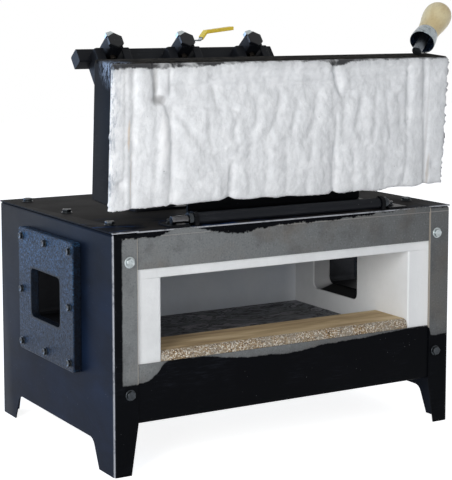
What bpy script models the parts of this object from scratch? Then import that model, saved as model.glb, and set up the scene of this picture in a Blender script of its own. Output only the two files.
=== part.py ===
"""A box-shaped gas forge with three burners and a flip-up insulated door.

The case is folded sheet steel on four cut legs, lined with ceramic fibre, with a wide mouth in front
and a bar port in each side. The door hangs on a rod over the roof and is modelled swung open, resting
on its heel. The gas rail, a square tube turned on its corner, feeds three cranked burner tubes.
Units are metres, +Z is up, the mouth faces -Y. The finished part stands on Z = 0, centred.
"""

from math import atan, cos, pi, radians, sin, sqrt, tan

import bmesh
import bpy
from mathutils import Matrix, Vector

mm = 0.001

# Clearances
gap = 0.3 * mm
overrun = 25 * mm

# Case
case_width = 612 * mm
case_depth = 424 * mm
sheet = 2 * mm
bend_radius = 4 * mm
flange_width = 39.5 * mm
side_edge_height = 43 * mm
front_edge_height = 75 * mm
foot_length = 52 * mm
foot_slope = 20 * mm
foot_width = 28 * mm
leg_fillet = 16 * mm
roof_lip = 10 * mm
panel_lip = 14 * mm

# Mouth and chamber
window_bottom = 163 * mm
window_drop = 57 * mm
mouth_width = 452 * mm
chamber_floor = 152 * mm
chamber_height = 136 * mm
roof_build = 72 * mm
chamber_depth = 335 * mm
hearth_thickness = 12.7 * mm
sill_depth = 89 * mm
sill_thickness = 25 * mm
sill_round = 10 * mm

# Bar ports
port_width = 109 * mm
port_height = 77 * mm
port_round = 9 * mm
port_drop = 55.5 * mm
plate_width = 208 * mm
plate_height = 198 * mm
plate_round = 7 * mm
plate_thickness = 13 * mm
plate_edge_round = 1.5 * mm
sleeve_wall = 2 * mm
sleeve_length = 52 * mm
flare_width = 133 * mm
flare_height = 98 * mm

# The upper front bolts, which the blanket has pockets for
front_bolt_inset = 26.5 * mm
front_bolt_drop = 45 * mm

# Gas rail and burners
rail_size = 25.4 * mm
rail_wall = 2 * mm
rail_round = 2.5 * mm
rail_length = 382 * mm
rail_shift = 5 * mm
rail_setback = 44 * mm
rail_rise = 233.5 * mm
rail_turn_degrees = 52
burner_shift = 5 * mm
burner_pitch = 136 * mm
tube_width = 66 * mm
tube_depth = 42 * mm
tube_wall = 3 * mm
tube_round = 4 * mm
tube_offset = 12.5 * mm
tube_start = 1.5 * mm
tube_recess = 8 * mm
elbow_rise = 39 * mm
intake_width = 34 * mm
intake_length = 32 * mm
collar_border = 16 * mm
collar_thickness = 4 * mm

# Jet blocks on the rail
block_size = 25.4 * mm
block_wall = 3 * mm
block_round = 2 * mm
block_top = 47 * mm
feed_hole_radius = 4.5 * mm
hex_chamfer = 0.9 * mm
cap_radius = 15 * mm
cap_height = 7 * mm
cap_spigot_radius = 9 * mm
cap_spigot_length = 6 * mm
jet_height = 24 * mm
jet_radius = 6 * mm
jet_length = 7 * mm
jet_spigot_radius = 3 * mm
jet_bore_radius = 1 * mm
plug_height = 37.5 * mm
plug_radius = 9 * mm
plug_length = 11 * mm
plug_spigot_radius = 5 * mm

# Inlet and ball valve
valve_side = 62 * mm
nipple_radius = 7 * mm
nipple_bore = 4.5 * mm
nipple_length = 23 * mm
nipple_bite = 4.5 * mm
valve_half_length = 22 * mm
valve_end_radius = 10.5 * mm
valve_body_radius = 13 * mm
valve_bore = 4.8 * mm
valve_collar = 8 * mm
ball_radius = 8 * mm
ball_cavity_radius = 8.7 * mm
seat_thickness = 3 * mm
boss_radius = 7.5 * mm
boss_height = 15 * mm
stem_radius = 3 * mm
stem_top = 34 * mm
packing_radius = 8.5 * mm
packing_height = 7 * mm
lever_plate = 2.5 * mm
lever_base_height = 26 * mm
lever_width = 12 * mm
lever_hub_radius = 9 * mm
lever_reach = 88 * mm
lever_step_start = 23 * mm
lever_step_run = 12 * mm
lever_step_rise = 15 * mm
lever_tip_rise = 6 * mm
sleeve_cover = 2 * mm
lever_nut_radius = 6 * mm
lever_nut_height = 4 * mm
inlet_radius = 8 * mm
inlet_bore = 4 * mm
inlet_length = 24 * mm
inlet_hex_radius = 11 * mm
inlet_hex_length = 9 * mm

# Door hinge
hinge_setback = 11.5 * mm
hinge_rise = 10 * mm
hinge_shift = 3.5 * mm
hinge_length = 332 * mm
pipe_radius = 8.6 * mm
pipe_bore = 6.4 * mm
rod_radius = 6 * mm
rod_left_overhang = 35 * mm
rod_right_overhang = 12 * mm
ear_thickness = 7 * mm
ear_radius = 11 * mm
ear_play = 0.8 * mm
bracket_length = 42 * mm
bracket_depth = 36 * mm
bracket_plate = 3 * mm
bracket_toe = 10 * mm
collar_ring_radius = 9 * mm
collar_ring_length = 7 * mm
door_lean_degrees = 4
leaf_thickness = 4 * mm
leaf_reach = 46 * mm
leaf_margin = 8 * mm

# Door
door_side_step = 4 * mm
door_face = 12 * mm
door_depth = 57 * mm
door_foot = 24 * mm
door_top = 231 * mm
door_sheet = 1.5 * mm
door_bend = 3 * mm
door_edge_step = 2 * mm
blanket_play = 0.8 * mm
blanket_crown = 3.5 * mm
blanket_fold = 1.2 * mm
pocket_radius = 12 * mm
pocket_depth = 8 * mm

# Door handle
handle_inset = 53 * mm
handle_setback = 13.5 * mm
handle_turn_degrees = 34
handle_rise_degrees = 27.5
handle_rod_radius = 8 * mm
handle_rod_length = 82.5 * mm
ferrule_start = 28.5 * mm
ferrule_length = 24.5 * mm
ferrule_rim_radius = 20.6 * mm
ferrule_back_radius = 18.6 * mm
ferrule_wall = 1.5 * mm
grip_length = 82 * mm
grip_neck_radius = 17.8 * mm
grip_belly_radius = 23.3 * mm

# Places worked out from the sizes above
half_width = case_width / 2
half_depth = case_depth / 2
mouth_top = chamber_floor + chamber_height
case_height = mouth_top + roof_build
roof_under = case_height - sheet
panel_face = half_depth - sheet - gap
panel_back = panel_face - sheet
lining_face = panel_back - gap
lining_side = half_width - sheet - gap
mouth_half = mouth_width / 2
rear_wall_face = -half_depth + chamber_depth
hearth_top = chamber_floor
hearth_under = hearth_top - hearth_thickness
wall_foot = hearth_under - gap
ceiling_top = roof_under - gap - bend_radius
pan_under = front_edge_height + sheet + gap
window_top = case_height - window_drop
port_centre_height = mouth_top - port_drop
front_bolt_height = case_height - front_bolt_drop
rail_back = half_depth - rail_setback
rail_height = case_height + rail_rise
rail_turn = radians(rail_turn_degrees)
hinge_y = -half_depth + hinge_setback
hinge_height = case_height + hinge_rise
door_half = half_width - door_side_step


# General shape helpers

def material(name, colour, roughness, metallic):
    shade = bpy.data.materials.new(name)
    shade.use_nodes = True
    shader = shade.node_tree.nodes["Principled BSDF"]
    shader.inputs["Base Color"].default_value = (*colour, 1)
    shader.inputs["Roughness"].default_value = roughness
    shader.inputs["Metallic"].default_value = metallic
    return shade


def add_empty(name, parent=None, location=(0, 0, 0), rotation=(0, 0, 0)):
    empty = bpy.data.objects.new(name, None)
    bpy.context.collection.objects.link(empty)
    empty.parent = parent
    empty.location = location
    empty.rotation_euler = rotation
    return empty


def add_piece(name, shape, finish, parent, location=(0, 0, 0), rotation=(0, 0, 0), smooth=False):
    bmesh.ops.recalc_face_normals(shape, faces=shape.faces)
    mesh = bpy.data.meshes.new(name)
    shape.to_mesh(mesh)
    shape.free()
    if smooth:
        mesh.shade_smooth()
        mesh.set_sharp_from_angle(angle=radians(35))
    piece = bpy.data.objects.new(name, mesh)
    bpy.context.collection.objects.link(piece)
    piece.parent = parent
    piece.location = location
    piece.rotation_euler = rotation
    if finish:
        piece.data.materials.append(finish)
    return piece


def cut(piece, shape, operation="DIFFERENCE"):
    """Cut a closed shape, given in the piece's own coordinates, out of the piece, or join it."""
    tool = add_piece("tool_" + piece.name, shape, None, piece.parent, piece.location,
                     piece.rotation_euler)
    tool.hide_render = True
    tool.display_type = "WIRE"
    modifier = piece.modifiers.new("shape", "BOOLEAN")
    modifier.operation = operation
    modifier.solver = "EXACT"
    modifier.object = tool
    return piece


def fold_sheet(piece, thickness):
    modifier = piece.modifiers.new("sheet", "SOLIDIFY")
    modifier.thickness = thickness
    modifier.offset = -1
    modifier.use_even_offset = True
    return piece


def add_box(shape, low, high):
    """Add a box between two corners to a shape."""
    low, high = Vector(low), Vector(high)
    middle, size = (low + high) / 2, high - low
    place = Matrix.Translation(middle) @ Matrix.Diagonal((*size, 1))
    bmesh.ops.create_cube(shape, size=1, matrix=place)
    return shape


def box(low, high):
    return add_box(bmesh.new(), low, high)


def add_prism(shape, outline, start, end, axis):
    """Extrude a closed outline along an axis. Its points are (y, z), (x, z) or (x, y)."""
    order = {"X": lambda u, v, w: (w, u, v), "Y": lambda u, v, w: (u, w, v), "Z": lambda u, v, w: (u, v, w)}
    place = order[axis]
    rings = [[shape.verts.new(place(u, v, level)) for u, v in outline] for level in (start, end)]
    shape.faces.new(rings[0])
    shape.faces.new(rings[1])
    count = len(outline)
    for i in range(count):
        j = (i + 1) % count
        shape.faces.new((rings[0][i], rings[0][j], rings[1][j], rings[1][i]))
    return shape


def prism(outline, start, end, axis):
    return add_prism(bmesh.new(), outline, start, end, axis)


def loft(rings):
    """Join rings of points, each with the same count, into one closed solid."""
    shape = bmesh.new()
    loops = [[shape.verts.new(point) for point in ring] for ring in rings]
    shape.faces.new(loops[0])
    shape.faces.new(loops[-1])
    for near, far in zip(loops, loops[1:]):
        for i in range(len(near)):
            j = (i + 1) % len(near)
            shape.faces.new((near[i], near[j], far[j], far[i]))
    return shape


def rounded(width, height, radius, steps=3, centre=(0, 0)):
    """A rectangle with rounded corners, as a list of points round its centre."""
    points = []
    for quarter, (su, sv) in enumerate(((1, 1), (-1, 1), (-1, -1), (1, -1))):
        cu = centre[0] + su * (width / 2 - radius)
        cv = centre[1] + sv * (height / 2 - radius)
        for step in range(steps + 1):
            turn = (quarter + step / steps) * pi / 2
            points.append((cu + radius * cos(turn), cv + radius * sin(turn)))
    return points


def fillet_outline(corners, steps=4):
    """Round the corners of an outline. Each corner is (u, v, radius)."""
    points = []
    for i, (u, v, radius) in enumerate(corners):
        here = Vector((u, v))
        if radius == 0:
            points.append((u, v))
            continue
        before = (Vector(corners[i - 1][:2]) - here).normalized()
        after = (Vector(corners[(i + 1) % len(corners)][:2]) - here).normalized()
        half = before.angle(after) / 2
        reach = radius / tan(half)
        centre = here + (before + after).normalized() * (radius / sin(half))
        first, last = here + before * reach - centre, here + after * reach - centre
        for step in range(steps + 1):
            spot = first.slerp(last, step / steps) if step not in (0, steps) else (first, last)[step > 0]
            spot = spot.normalized() * radius
            points.append(tuple(centre + spot))
    return points


def add_lathe(shape, profile, sides, closed=False, place=Matrix()):
    """Turn a profile of (radius, height) points round Z. A closed profile makes a ring."""
    rings = []
    for radius, height in profile:
        if radius == 0:
            rings.append([shape.verts.new(place @ Vector((0, 0, height)))])
            continue
        ring = []
        for i in range(sides):
            turn = 2 * pi * (i + 0.5) / sides
            ring.append(shape.verts.new(place @ Vector((radius * cos(turn), radius * sin(turn), height))))
        rings.append(ring)
    pairs = list(zip(rings, rings[1:]))
    if closed:
        pairs.append((rings[-1], rings[0]))
    for near, far in pairs:
        for i in range(sides):
            j = (i + 1) % sides
            if len(near) == 1:
                shape.faces.new((near[0], far[i], far[j]))
            elif len(far) == 1:
                shape.faces.new((near[i], near[j], far[0]))
            else:
                shape.faces.new((near[i], near[j], far[j], far[i]))
    return shape


def lathe(profile, sides, closed=False, place=Matrix()):
    return add_lathe(bmesh.new(), profile, sides, closed, place)


def facing(point, direction):
    """A placement at a point whose Z runs along the direction."""
    turn = Vector((0, 0, 1)).rotation_difference(Vector(direction))
    return Matrix.Translation(Vector(point)) @ turn.to_matrix().to_4x4()


def add_bore(shape, point, direction, radius, length):
    """A round cutter, centred on a point along a direction."""
    profile = ((0, -length / 2), (radius, -length / 2), (radius, length / 2), (0, length / 2))
    return add_lathe(shape, profile, 12, place=facing(point, direction))


def bevel_where(shape, radius, segments, choose):
    edges = [edge for edge in shape.edges if choose(*(vert.co for vert in edge.verts))]
    bmesh.ops.bevel(shape, geom=edges, offset=radius, segments=segments, profile=0.5, affect="EDGES")
    return shape


def drop_faces(shape, *normals):
    """Open a closed shape on the sides that face the given directions."""
    shape.normal_update()
    chosen = [face for face in shape.faces if any(face.normal.dot(Vector(n)) > 0.99 for n in normals)]
    bmesh.ops.delete(shape, geom=chosen, context="FACES")
    return shape


def rail_point(across, along):
    """A (y, z) point near the rail: across runs up and forward, along runs down and forward."""
    forward, up = sin(rail_turn), cos(rail_turn)
    return (rail_back - across * forward - along * up, rail_height + across * up - along * forward)


def burner_y():
    """Where the burners' vertical legs stand, straight down the slant from the rail to the elbow."""
    start_y, start_z = rail_point(tube_offset, tube_start)
    return start_y - (start_z - case_height - elbow_rise) / tan(rail_turn)


def burner_places():
    return [burner_shift + burner_pitch * step for step in (-1, 0, 1)]


# Case

def make_side_panel(name, side, finish, root):
    """One folded side: web, front and rear flanges, top flange, and two cut legs."""
    inner, outer = side * (half_width - flange_width), side * half_width
    top = roof_under - gap
    shape = box((min(inner, outer), -half_depth, 0), (max(inner, outer), half_depth, top))
    drop_faces(shape, (-side, 0, 0), (0, 0, -1))

    def bend(a, b):
        on_web = abs(a.x - outer) < gap and abs(b.x - outer) < gap
        on_ends = abs(a.z - top) < gap and abs(b.z - top) < gap and abs(a.y - b.y) < gap
        return (on_web and (a.z > gap or b.z > gap)) or on_ends

    bevel_where(shape, bend_radius, 2, bend)
    panel = fold_sheet(add_piece(name, shape, finish, root), sheet)

    foot = -half_depth + foot_length
    knee = foot + foot_slope
    arch = fillet_outline(((foot, -overrun, 0), (foot, 0, 0), (knee, side_edge_height, leg_fillet),
                           (-knee, side_edge_height, leg_fillet), (-foot, 0, 0), (-foot, -overrun, 0)))
    tools = prism(arch, side * (half_width - 3 * sheet), side * (half_width + overrun), "X")
    sleeve_hole = rounded(port_width + 2 * (sleeve_wall + gap), port_height + 2 * (sleeve_wall + gap),
                          port_round + sleeve_wall, centre=(0, port_centre_height))
    add_prism(tools, sleeve_hole, side * (half_width - 3 * sheet), side * (half_width + overrun), "X")
    heel = side * (half_width - foot_width)
    wide = side * (half_width - flange_width - overrun)
    taper = ((heel, -overrun), (heel, 0), (inner, front_edge_height), (wide, front_edge_height), (wide, -overrun))
    for end in (-1, 1):
        add_prism(tools, taper, end * (half_depth - 3 * sheet), end * (half_depth + overrun), "Y")
    return cut(panel, tools)


def make_end_panel(name, end, finish, root):
    """The front (end -1) or rear (end 1) panel, with an inward lip under the floor pan."""
    side = half_width - bend_radius
    outer, inner = end * panel_face, end * (panel_face - panel_lip)
    top = ceiling_top
    shape = box((-side, min(outer, inner), front_edge_height), (side, max(outer, inner), top))
    drop_faces(shape, (0, -end, 0), (0, 0, 1), (1, 0, 0), (-1, 0, 0))
    bevel_where(shape, bend_radius, 2, lambda a, b: abs(a.y - outer) + abs(b.y - outer) < gap
                and abs(a.z - front_edge_height) + abs(b.z - front_edge_height) < gap)
    panel = fold_sheet(add_piece(name, shape, finish, root), sheet)
    if end < 0:
        window = half_width - flange_width
        cut(panel, box((-window, -half_depth - overrun, window_bottom), (window, 0, window_top)))
    return panel


def make_roof(finish, root):
    """The roof sheet, folded down in front and behind between the side flanges, with burner slots."""
    lip_half = half_width - flange_width - gap
    shape = box((-lip_half, -half_depth, case_height - roof_lip), (lip_half, half_depth, case_height))
    drop_faces(shape, (0, 0, -1), (1, 0, 0), (-1, 0, 0))
    bevel_where(shape, bend_radius, 2, lambda a, b: abs(a.y) + abs(b.y) > case_depth - gap
                and abs(a.z - case_height) + abs(b.z - case_height) < gap)
    roof = fold_sheet(add_piece("roof_cover", shape, finish, root), sheet)
    for side in (-1, 1):
        low, high = sorted((side * (lip_half - sheet), side * half_width))
        cut(roof, box((low, -half_depth, roof_under), (high, half_depth, case_height)), "UNION")
    tools = bmesh.new()
    for x in burner_places():
        slot = rounded(tube_width + 2 * gap, tube_depth + 2 * gap, tube_round, centre=(x, burner_y()))
        add_prism(tools, slot, roof_under - overrun / 2, case_height + overrun, "Z")
    return cut(roof, tools)


def make_floor_pan(finish, root):
    reach = panel_face - bend_radius
    side = half_width - sheet - gap
    return add_piece("floor_pan", box((-side, -reach, pan_under), (side, reach, pan_under + sheet)), finish, root)


# Lining

def make_lining(fibre, refractory, root):
    """The fibre blocks, the floor plate and the sill that stands at the mouth."""
    pan_top = pan_under + sheet + gap
    add_piece("floor_lining", box((-lining_side, -lining_face, pan_top), (lining_side, lining_face, wall_foot)),
              fibre, root)
    ceiling = add_piece("ceiling_lining", box((-lining_side, -lining_face, mouth_top),
                                              (lining_side, lining_face, ceiling_top)), fibre, root)
    tools = bmesh.new()
    for x in burner_places():
        slot = rounded(tube_width + 2 * gap, tube_depth + 2 * gap, tube_round, centre=(x, burner_y()))
        add_prism(tools, slot, mouth_top - overrun, ceiling_top + overrun, "Z")
    cut(ceiling, tools)

    for name, side in (("left_wall_lining", -1), ("right_wall_lining", 1)):
        low, high = sorted((side * mouth_half, side * lining_side))
        wall = add_piece(name, box((low, -lining_face, hearth_under), (high, lining_face, mouth_top - gap)),
                         fibre, root)
        cut(wall, port_passage(side))
    back = mouth_half - gap
    add_piece("rear_lining", box((-back, rear_wall_face, hearth_under), (back, lining_face, mouth_top - gap)),
              fibre, root)
    add_piece("hearth_plate", box((-back, -lining_face, hearth_under), (back, rear_wall_face - gap, hearth_top)),
              refractory["hearth"], root)

    near, far = -lining_face, -lining_face + sill_depth
    low, high = hearth_top + gap, hearth_top + gap + sill_thickness
    outline = fillet_outline(((near, low, 0), (far, low, 0), (far, high, sill_round / 3), (near, high, sill_round)), 4)
    add_piece("front_sill", prism(outline, -back, back, "X"), refractory["sill"], root)


def port_passage(side):
    """The cutter for a bar port: the sleeve's size outside, flaring to the chamber."""
    outer = (port_width + 2 * (sleeve_wall + gap), port_height + 2 * (sleeve_wall + gap), port_round + sleeve_wall)
    inner = (flare_width, flare_height, port_round + sleeve_wall)
    stations = ((half_width + overrun, outer), (half_width - sleeve_length, outer), (mouth_half, inner),
                (mouth_half - overrun, inner))
    rings = []
    for x, (width, height, radius) in stations:
        rings.append([(side * x, y, z) for y, z in rounded(width, height, radius, centre=(0, port_centre_height))])
    return loft(rings)


def make_port(side, label, plate_finish, sleeve_finish, root):
    """A thick port plate and the sleeve through the wall."""
    face = side * (half_width + gap)
    far = side * (half_width + gap + plate_thickness)
    middle = side * (half_width + gap + plate_thickness - plate_edge_round)
    full = rounded(plate_width, plate_height, plate_round, centre=(0, port_centre_height))
    small = rounded(plate_width - 2 * plate_edge_round, plate_height - 2 * plate_edge_round,
                    plate_round - plate_edge_round, centre=(0, port_centre_height))
    rings = [[(face, y, z) for y, z in full], [(middle, y, z) for y, z in full], [(far, y, z) for y, z in small]]
    plate = add_piece(label + "_port_plate", loft(rings), plate_finish, root)
    hole = rounded(port_width, port_height, port_round, centre=(0, port_centre_height))
    cut(plate, prism(hole, side * (half_width - overrun), side * (half_width + overrun), "X"))

    outer = rounded(port_width + 2 * sleeve_wall, port_height + 2 * sleeve_wall, port_round + sleeve_wall,
                    centre=(0, port_centre_height))
    start, end = side * half_width, side * (half_width - sleeve_length)
    sleeve = add_piece(label + "_port_sleeve", prism(outer, start, end, "X"), sleeve_finish, root)
    cut(sleeve, prism(hole, start + side * overrun, end - side * overrun, "X"))


# Burners and gas rail

def make_burner(number, x, finish, root):
    """A cranked rectangular tube from the rail down through the roof, notched round the rail."""
    half_long, half_deep = tube_width / 2, tube_depth / 2
    start_y, start_z = rail_point(tube_offset, tube_start)
    leg_y, elbow_z = burner_y(), case_height + elbow_rise
    end_z = mouth_top + tube_recess
    mitre = half_deep * tan((pi / 2 - rail_turn) / 2)
    section = rounded(tube_width, tube_depth, tube_round, 2)
    rings = []
    rings.append([(x + u, start_y - v * sin(rail_turn), start_z + v * cos(rail_turn)) for u, v in section])
    rings.append([(x + u, leg_y - v, elbow_z + v * mitre / half_deep) for u, v in section])
    rings.append([(x + u, leg_y - v, end_z) for u, v in section])
    shape = loft(rings)
    ends = [face for face in shape.faces if len(face.verts) > 4]
    bmesh.ops.delete(shape, geom=ends, context="FACES")
    tube = fold_sheet(add_piece(f"burner_tube_{number}", shape, finish, root), tube_wall)

    reach = rail_size / 2 + gap
    corners = [rail_point(a, b) for a, b in ((reach, reach), (-overrun, reach), (-overrun, -overrun), (reach, -overrun))]
    tools = prism(corners, x - half_long - overrun, x + half_long + overrun, "X")
    wall = tube_offset + half_deep - 2 * tube_wall
    far = tube_offset + half_deep + overrun
    window = [rail_point(a, b) for a, b in ((wall, -overrun), (wall, tube_start + intake_length),
                                           (far, tube_start + intake_length), (far, -overrun))]
    add_prism(tools, window, x - intake_width / 2, x + intake_width / 2, "X")
    cut(tube, tools)

    border = collar_border * 2
    ring = rounded(tube_width + border, tube_depth + border, tube_round, centre=(x, leg_y))
    hole = rounded(tube_width + 2 * gap, tube_depth + 2 * gap, tube_round, centre=(x, leg_y))
    low, high = case_height + gap, case_height + gap + collar_thickness
    collar = add_piece(f"burner_collar_{number}", prism(ring, low, high, "Z"), finish, root)
    cut(collar, prism(hole, low - overrun, high + overrun, "Z"))


def make_rail(black, root):
    """The closed square manifold tube, turned nearly on its corner with its empty."""
    rail = add_empty("gas_rail", root, (rail_shift, rail_back, rail_height), (rail_turn, 0, 0))
    half = rail_length / 2
    bore = rail_size - 2 * rail_wall
    tube = add_piece("manifold_tube", prism(rounded(rail_size, rail_size, rail_round, 2), -half, half, "X"), black, rail)
    tools = prism(rounded(bore, bore, rail_round - rail_wall, 2), -half + rail_wall, half - rail_wall, "X")
    cut(tube, tools)
    tools = bmesh.new()
    for x in burner_places():
        add_bore(tools, (x - rail_shift, 0, rail_size / 2), (0, 0, 1), feed_hole_radius, 4 * rail_wall)
    rearward = Vector((0, cos(rail_turn), -sin(rail_turn)))
    place = Vector((valve_side - rail_shift, 0, 0)) + rearward * (rail_size * sqrt(0.5))
    add_bore(tools, place, rearward, nipple_radius + 2 * gap, rail_size)
    cut(tube, tools)
    return rail


def make_jet_blocks(black, zinc, brass, rail):
    """Square stubs on the rail's upper face, with a cap on top, a jet in front and a plug behind."""
    foot = rail_size / 2 + gap
    half = block_size / 2
    outline = rounded(block_size, block_size, block_round, 2)
    for number, place in enumerate(burner_places(), 1):
        x = place - rail_shift
        shape = prism([(x + u, v) for u, v in outline], foot, block_top, "Z")
        bmesh.ops.delete(shape, geom=[face for face in shape.faces if len(face.verts) > 4], context="FACES")
        block = fold_sheet(add_piece(f"jet_block_{number}", shape, black, rail), block_wall)
        tools = bmesh.new()
        add_bore(tools, (x, -half, jet_height), (0, 1, 0), jet_spigot_radius + gap, 4 * block_wall)
        add_bore(tools, (x, half, plug_height), (0, 1, 0), plug_spigot_radius + gap, 4 * block_wall)
        cut(block, tools)

        cap = ((0, cap_height), (cap_radius - 2 * hex_chamfer, cap_height), (cap_radius, cap_height - hex_chamfer),
               (cap_radius, gap), (cap_spigot_radius, gap), (cap_spigot_radius, -cap_spigot_length), (0, -cap_spigot_length))
        add_piece(f"block_cap_{number}", lathe(cap, 6, place=facing((x, 0, block_top), (0, 0, 1))), black, rail)
        jet = ((jet_bore_radius, jet_length), (jet_radius - hex_chamfer, jet_length), (jet_radius, jet_length - hex_chamfer),
               (jet_radius, gap), (jet_spigot_radius, gap), (jet_spigot_radius, -block_wall), (jet_bore_radius, -block_wall))
        add_piece(f"jet_{number}", lathe(jet, 6, True, facing((x, -half, jet_height), (0, -1, 0))), brass, rail)
        plug = ((0, plug_length), (plug_radius - hex_chamfer, plug_length), (plug_radius, plug_length - hex_chamfer),
                (plug_radius, gap), (plug_spigot_radius, gap), (plug_spigot_radius, -block_wall), (0, -block_wall))
        add_piece(f"block_plug_{number}", lathe(plug, 6, place=facing((x, half, plug_height), (0, 1, 0))), zinc, rail)


# Inlet and valve

def make_valve(brass, zinc, seat_finish, yellow, steel, root):
    """The nipple from the rail's rear corner, the ball valve, its lever and the inlet fitting."""
    corner_y = rail_back + rail_size * sqrt(0.5)
    start = corner_y - nipple_bite
    body_start = start + nipple_length
    centre = body_start + valve_half_length
    base = add_empty("valve", root, (valve_side, centre, rail_height))
    back = (radians(-90), 0, 0)

    pipe = ((nipple_radius, 0), (nipple_radius, nipple_length - gap), (nipple_bore, nipple_length - gap), (nipple_bore, 0))
    add_piece("inlet_nipple", lathe(pipe, 16, True), zinc, base, (0, start - centre, 0), back, smooth=True)

    side = valve_half_length
    cavity = ball_radius + seat_thickness - gap
    body = ((valve_bore, -side), (valve_end_radius, -side), (valve_end_radius, -side + valve_collar),
            (valve_body_radius, -side + valve_collar * 1.4), (valve_body_radius, side - valve_collar * 1.4),
            (valve_end_radius, side - valve_collar), (valve_end_radius, side), (valve_bore, side),
            (valve_bore, cavity), (ball_cavity_radius, cavity), (ball_cavity_radius, -cavity), (valve_bore, -cavity))
    valve = add_piece("valve_body", lathe(body, 16, True), brass, base, rotation=back, smooth=True)
    collar = lathe(((0, ball_cavity_radius + sheet / 2), (boss_radius, ball_cavity_radius + sheet / 2),
                    (boss_radius, boss_height), (0, boss_height)), 12, place=facing((0, 0, 0), (0, -1, 0)))
    cut(valve, collar, "UNION")
    bore = lathe(((0, ball_radius / 2), (stem_radius + gap, ball_radius / 2),
                  (stem_radius + gap, boss_height + overrun), (0, boss_height + overrun)), 12,
                 place=facing((0, 0, 0), (0, -1, 0)))
    cut(valve, bore)

    inner = ball_radius * 0.62
    for name, end in (("front_valve_seat", -1), ("rear_valve_seat", 1)):
        near, far = end * (ball_radius * 0.9), end * (cavity - gap)
        ring = ((inner, near), (ball_cavity_radius - gap, near), (ball_cavity_radius - gap, far), (inner, far))
        add_piece(name, lathe(ring, 16, True), seat_finish, base, rotation=back, smooth=True)

    bore = (stem_radius + gap) / cos(pi / 6)
    nut = ((bore, boss_height + gap), (packing_radius, boss_height + gap),
           (packing_radius, boss_height + packing_height), (bore, boss_height + packing_height))
    add_piece("packing_nut", lathe(nut, 6, True), brass, base)

    hexagon = inlet_hex_radius
    fitting = ((inlet_bore, side + gap), (hexagon, side + gap), (hexagon, side + inlet_hex_length),
               (inlet_radius, side + inlet_hex_length), (inlet_radius, side + inlet_length),
               (inlet_bore, side + inlet_length))
    add_piece("inlet_fitting", lathe(fitting, 12, True), brass, base, rotation=back, smooth=True)
    make_lever(base, steel, yellow, brass)


def lever_outline(low_offset, high_offset, start, end):
    """The lever's side view from start to end along X, offset below and above its plate."""
    rise_end = lever_step_start + lever_step_run

    def height(x):
        if x <= lever_step_start:
            return 0
        if x <= rise_end:
            return lever_step_rise * (x - lever_step_start) / lever_step_run
        return lever_step_rise + lever_tip_rise * (x - rise_end) / (lever_reach - rise_end)

    stations = [start] + [x for x in (lever_step_start, rise_end) if start < x < end] + [end]
    lower = [(x, lever_base_height + height(x) - low_offset) for x in stations]
    upper = [(x, lever_base_height + height(x) + lever_plate + high_offset) for x in reversed(stations)]
    return lower + upper


def make_lever(base, steel, yellow, brass):
    """What turns with the valve: ball, stem, lever plate, its sleeve and nut, on the stem's axis."""
    turning = add_empty("valve_stem_axis", base)
    ball_profile = []
    steps = 8
    lip = valve_bore
    edge = sqrt(ball_radius ** 2 - lip ** 2)
    for step in range(steps + 1):
        height = edge * (2 * step / steps - 1)
        ball_profile.append((sqrt(ball_radius ** 2 - height ** 2), height))
    ball_profile += [(lip - gap, edge), (lip - gap, -edge)]
    add_piece("valve_ball", lathe(ball_profile, 16, True), steel, turning, rotation=(0, radians(90), 0), smooth=True)
    stem = ((0, ball_radius + gap), (stem_radius, ball_radius + gap), (stem_radius, stem_top), (0, stem_top))
    add_piece("valve_stem", lathe(stem, 12), brass, turning, smooth=True)

    arm_start = -lever_hub_radius
    half = lever_width / 2
    plate = add_piece("valve_lever", prism(lever_outline(0, 0, arm_start, lever_reach - sleeve_cover), -half, half, "Y"),
                      steel, turning)
    cut(plate, lathe(((0, 0), (stem_radius + gap, 0), (stem_radius + gap, stem_top + overrun), (0, stem_top + overrun)), 12))

    sleeve_start = lever_step_start + lever_step_run / 4
    cover = add_piece("lever_sleeve", prism(lever_outline(sleeve_cover, sleeve_cover, sleeve_start, lever_reach + sleeve_cover),
                                            -half - sleeve_cover, half + sleeve_cover, "Y"), yellow, turning)
    cut(cover, prism(lever_outline(gap, gap, sleeve_start - sleeve_cover, lever_reach - sleeve_cover + gap),
                     -half - gap, half + gap, "Y"))

    low = lever_base_height + lever_plate + gap
    bore = (stem_radius + gap) / cos(pi / 6)
    nut = ((bore, low), (lever_nut_radius, low), (lever_nut_radius, low + lever_nut_height),
           (bore, low + lever_nut_height))
    add_piece("lever_nut", lathe(nut, 6, True), steel, turning)


# Door hinge on the roof

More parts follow.
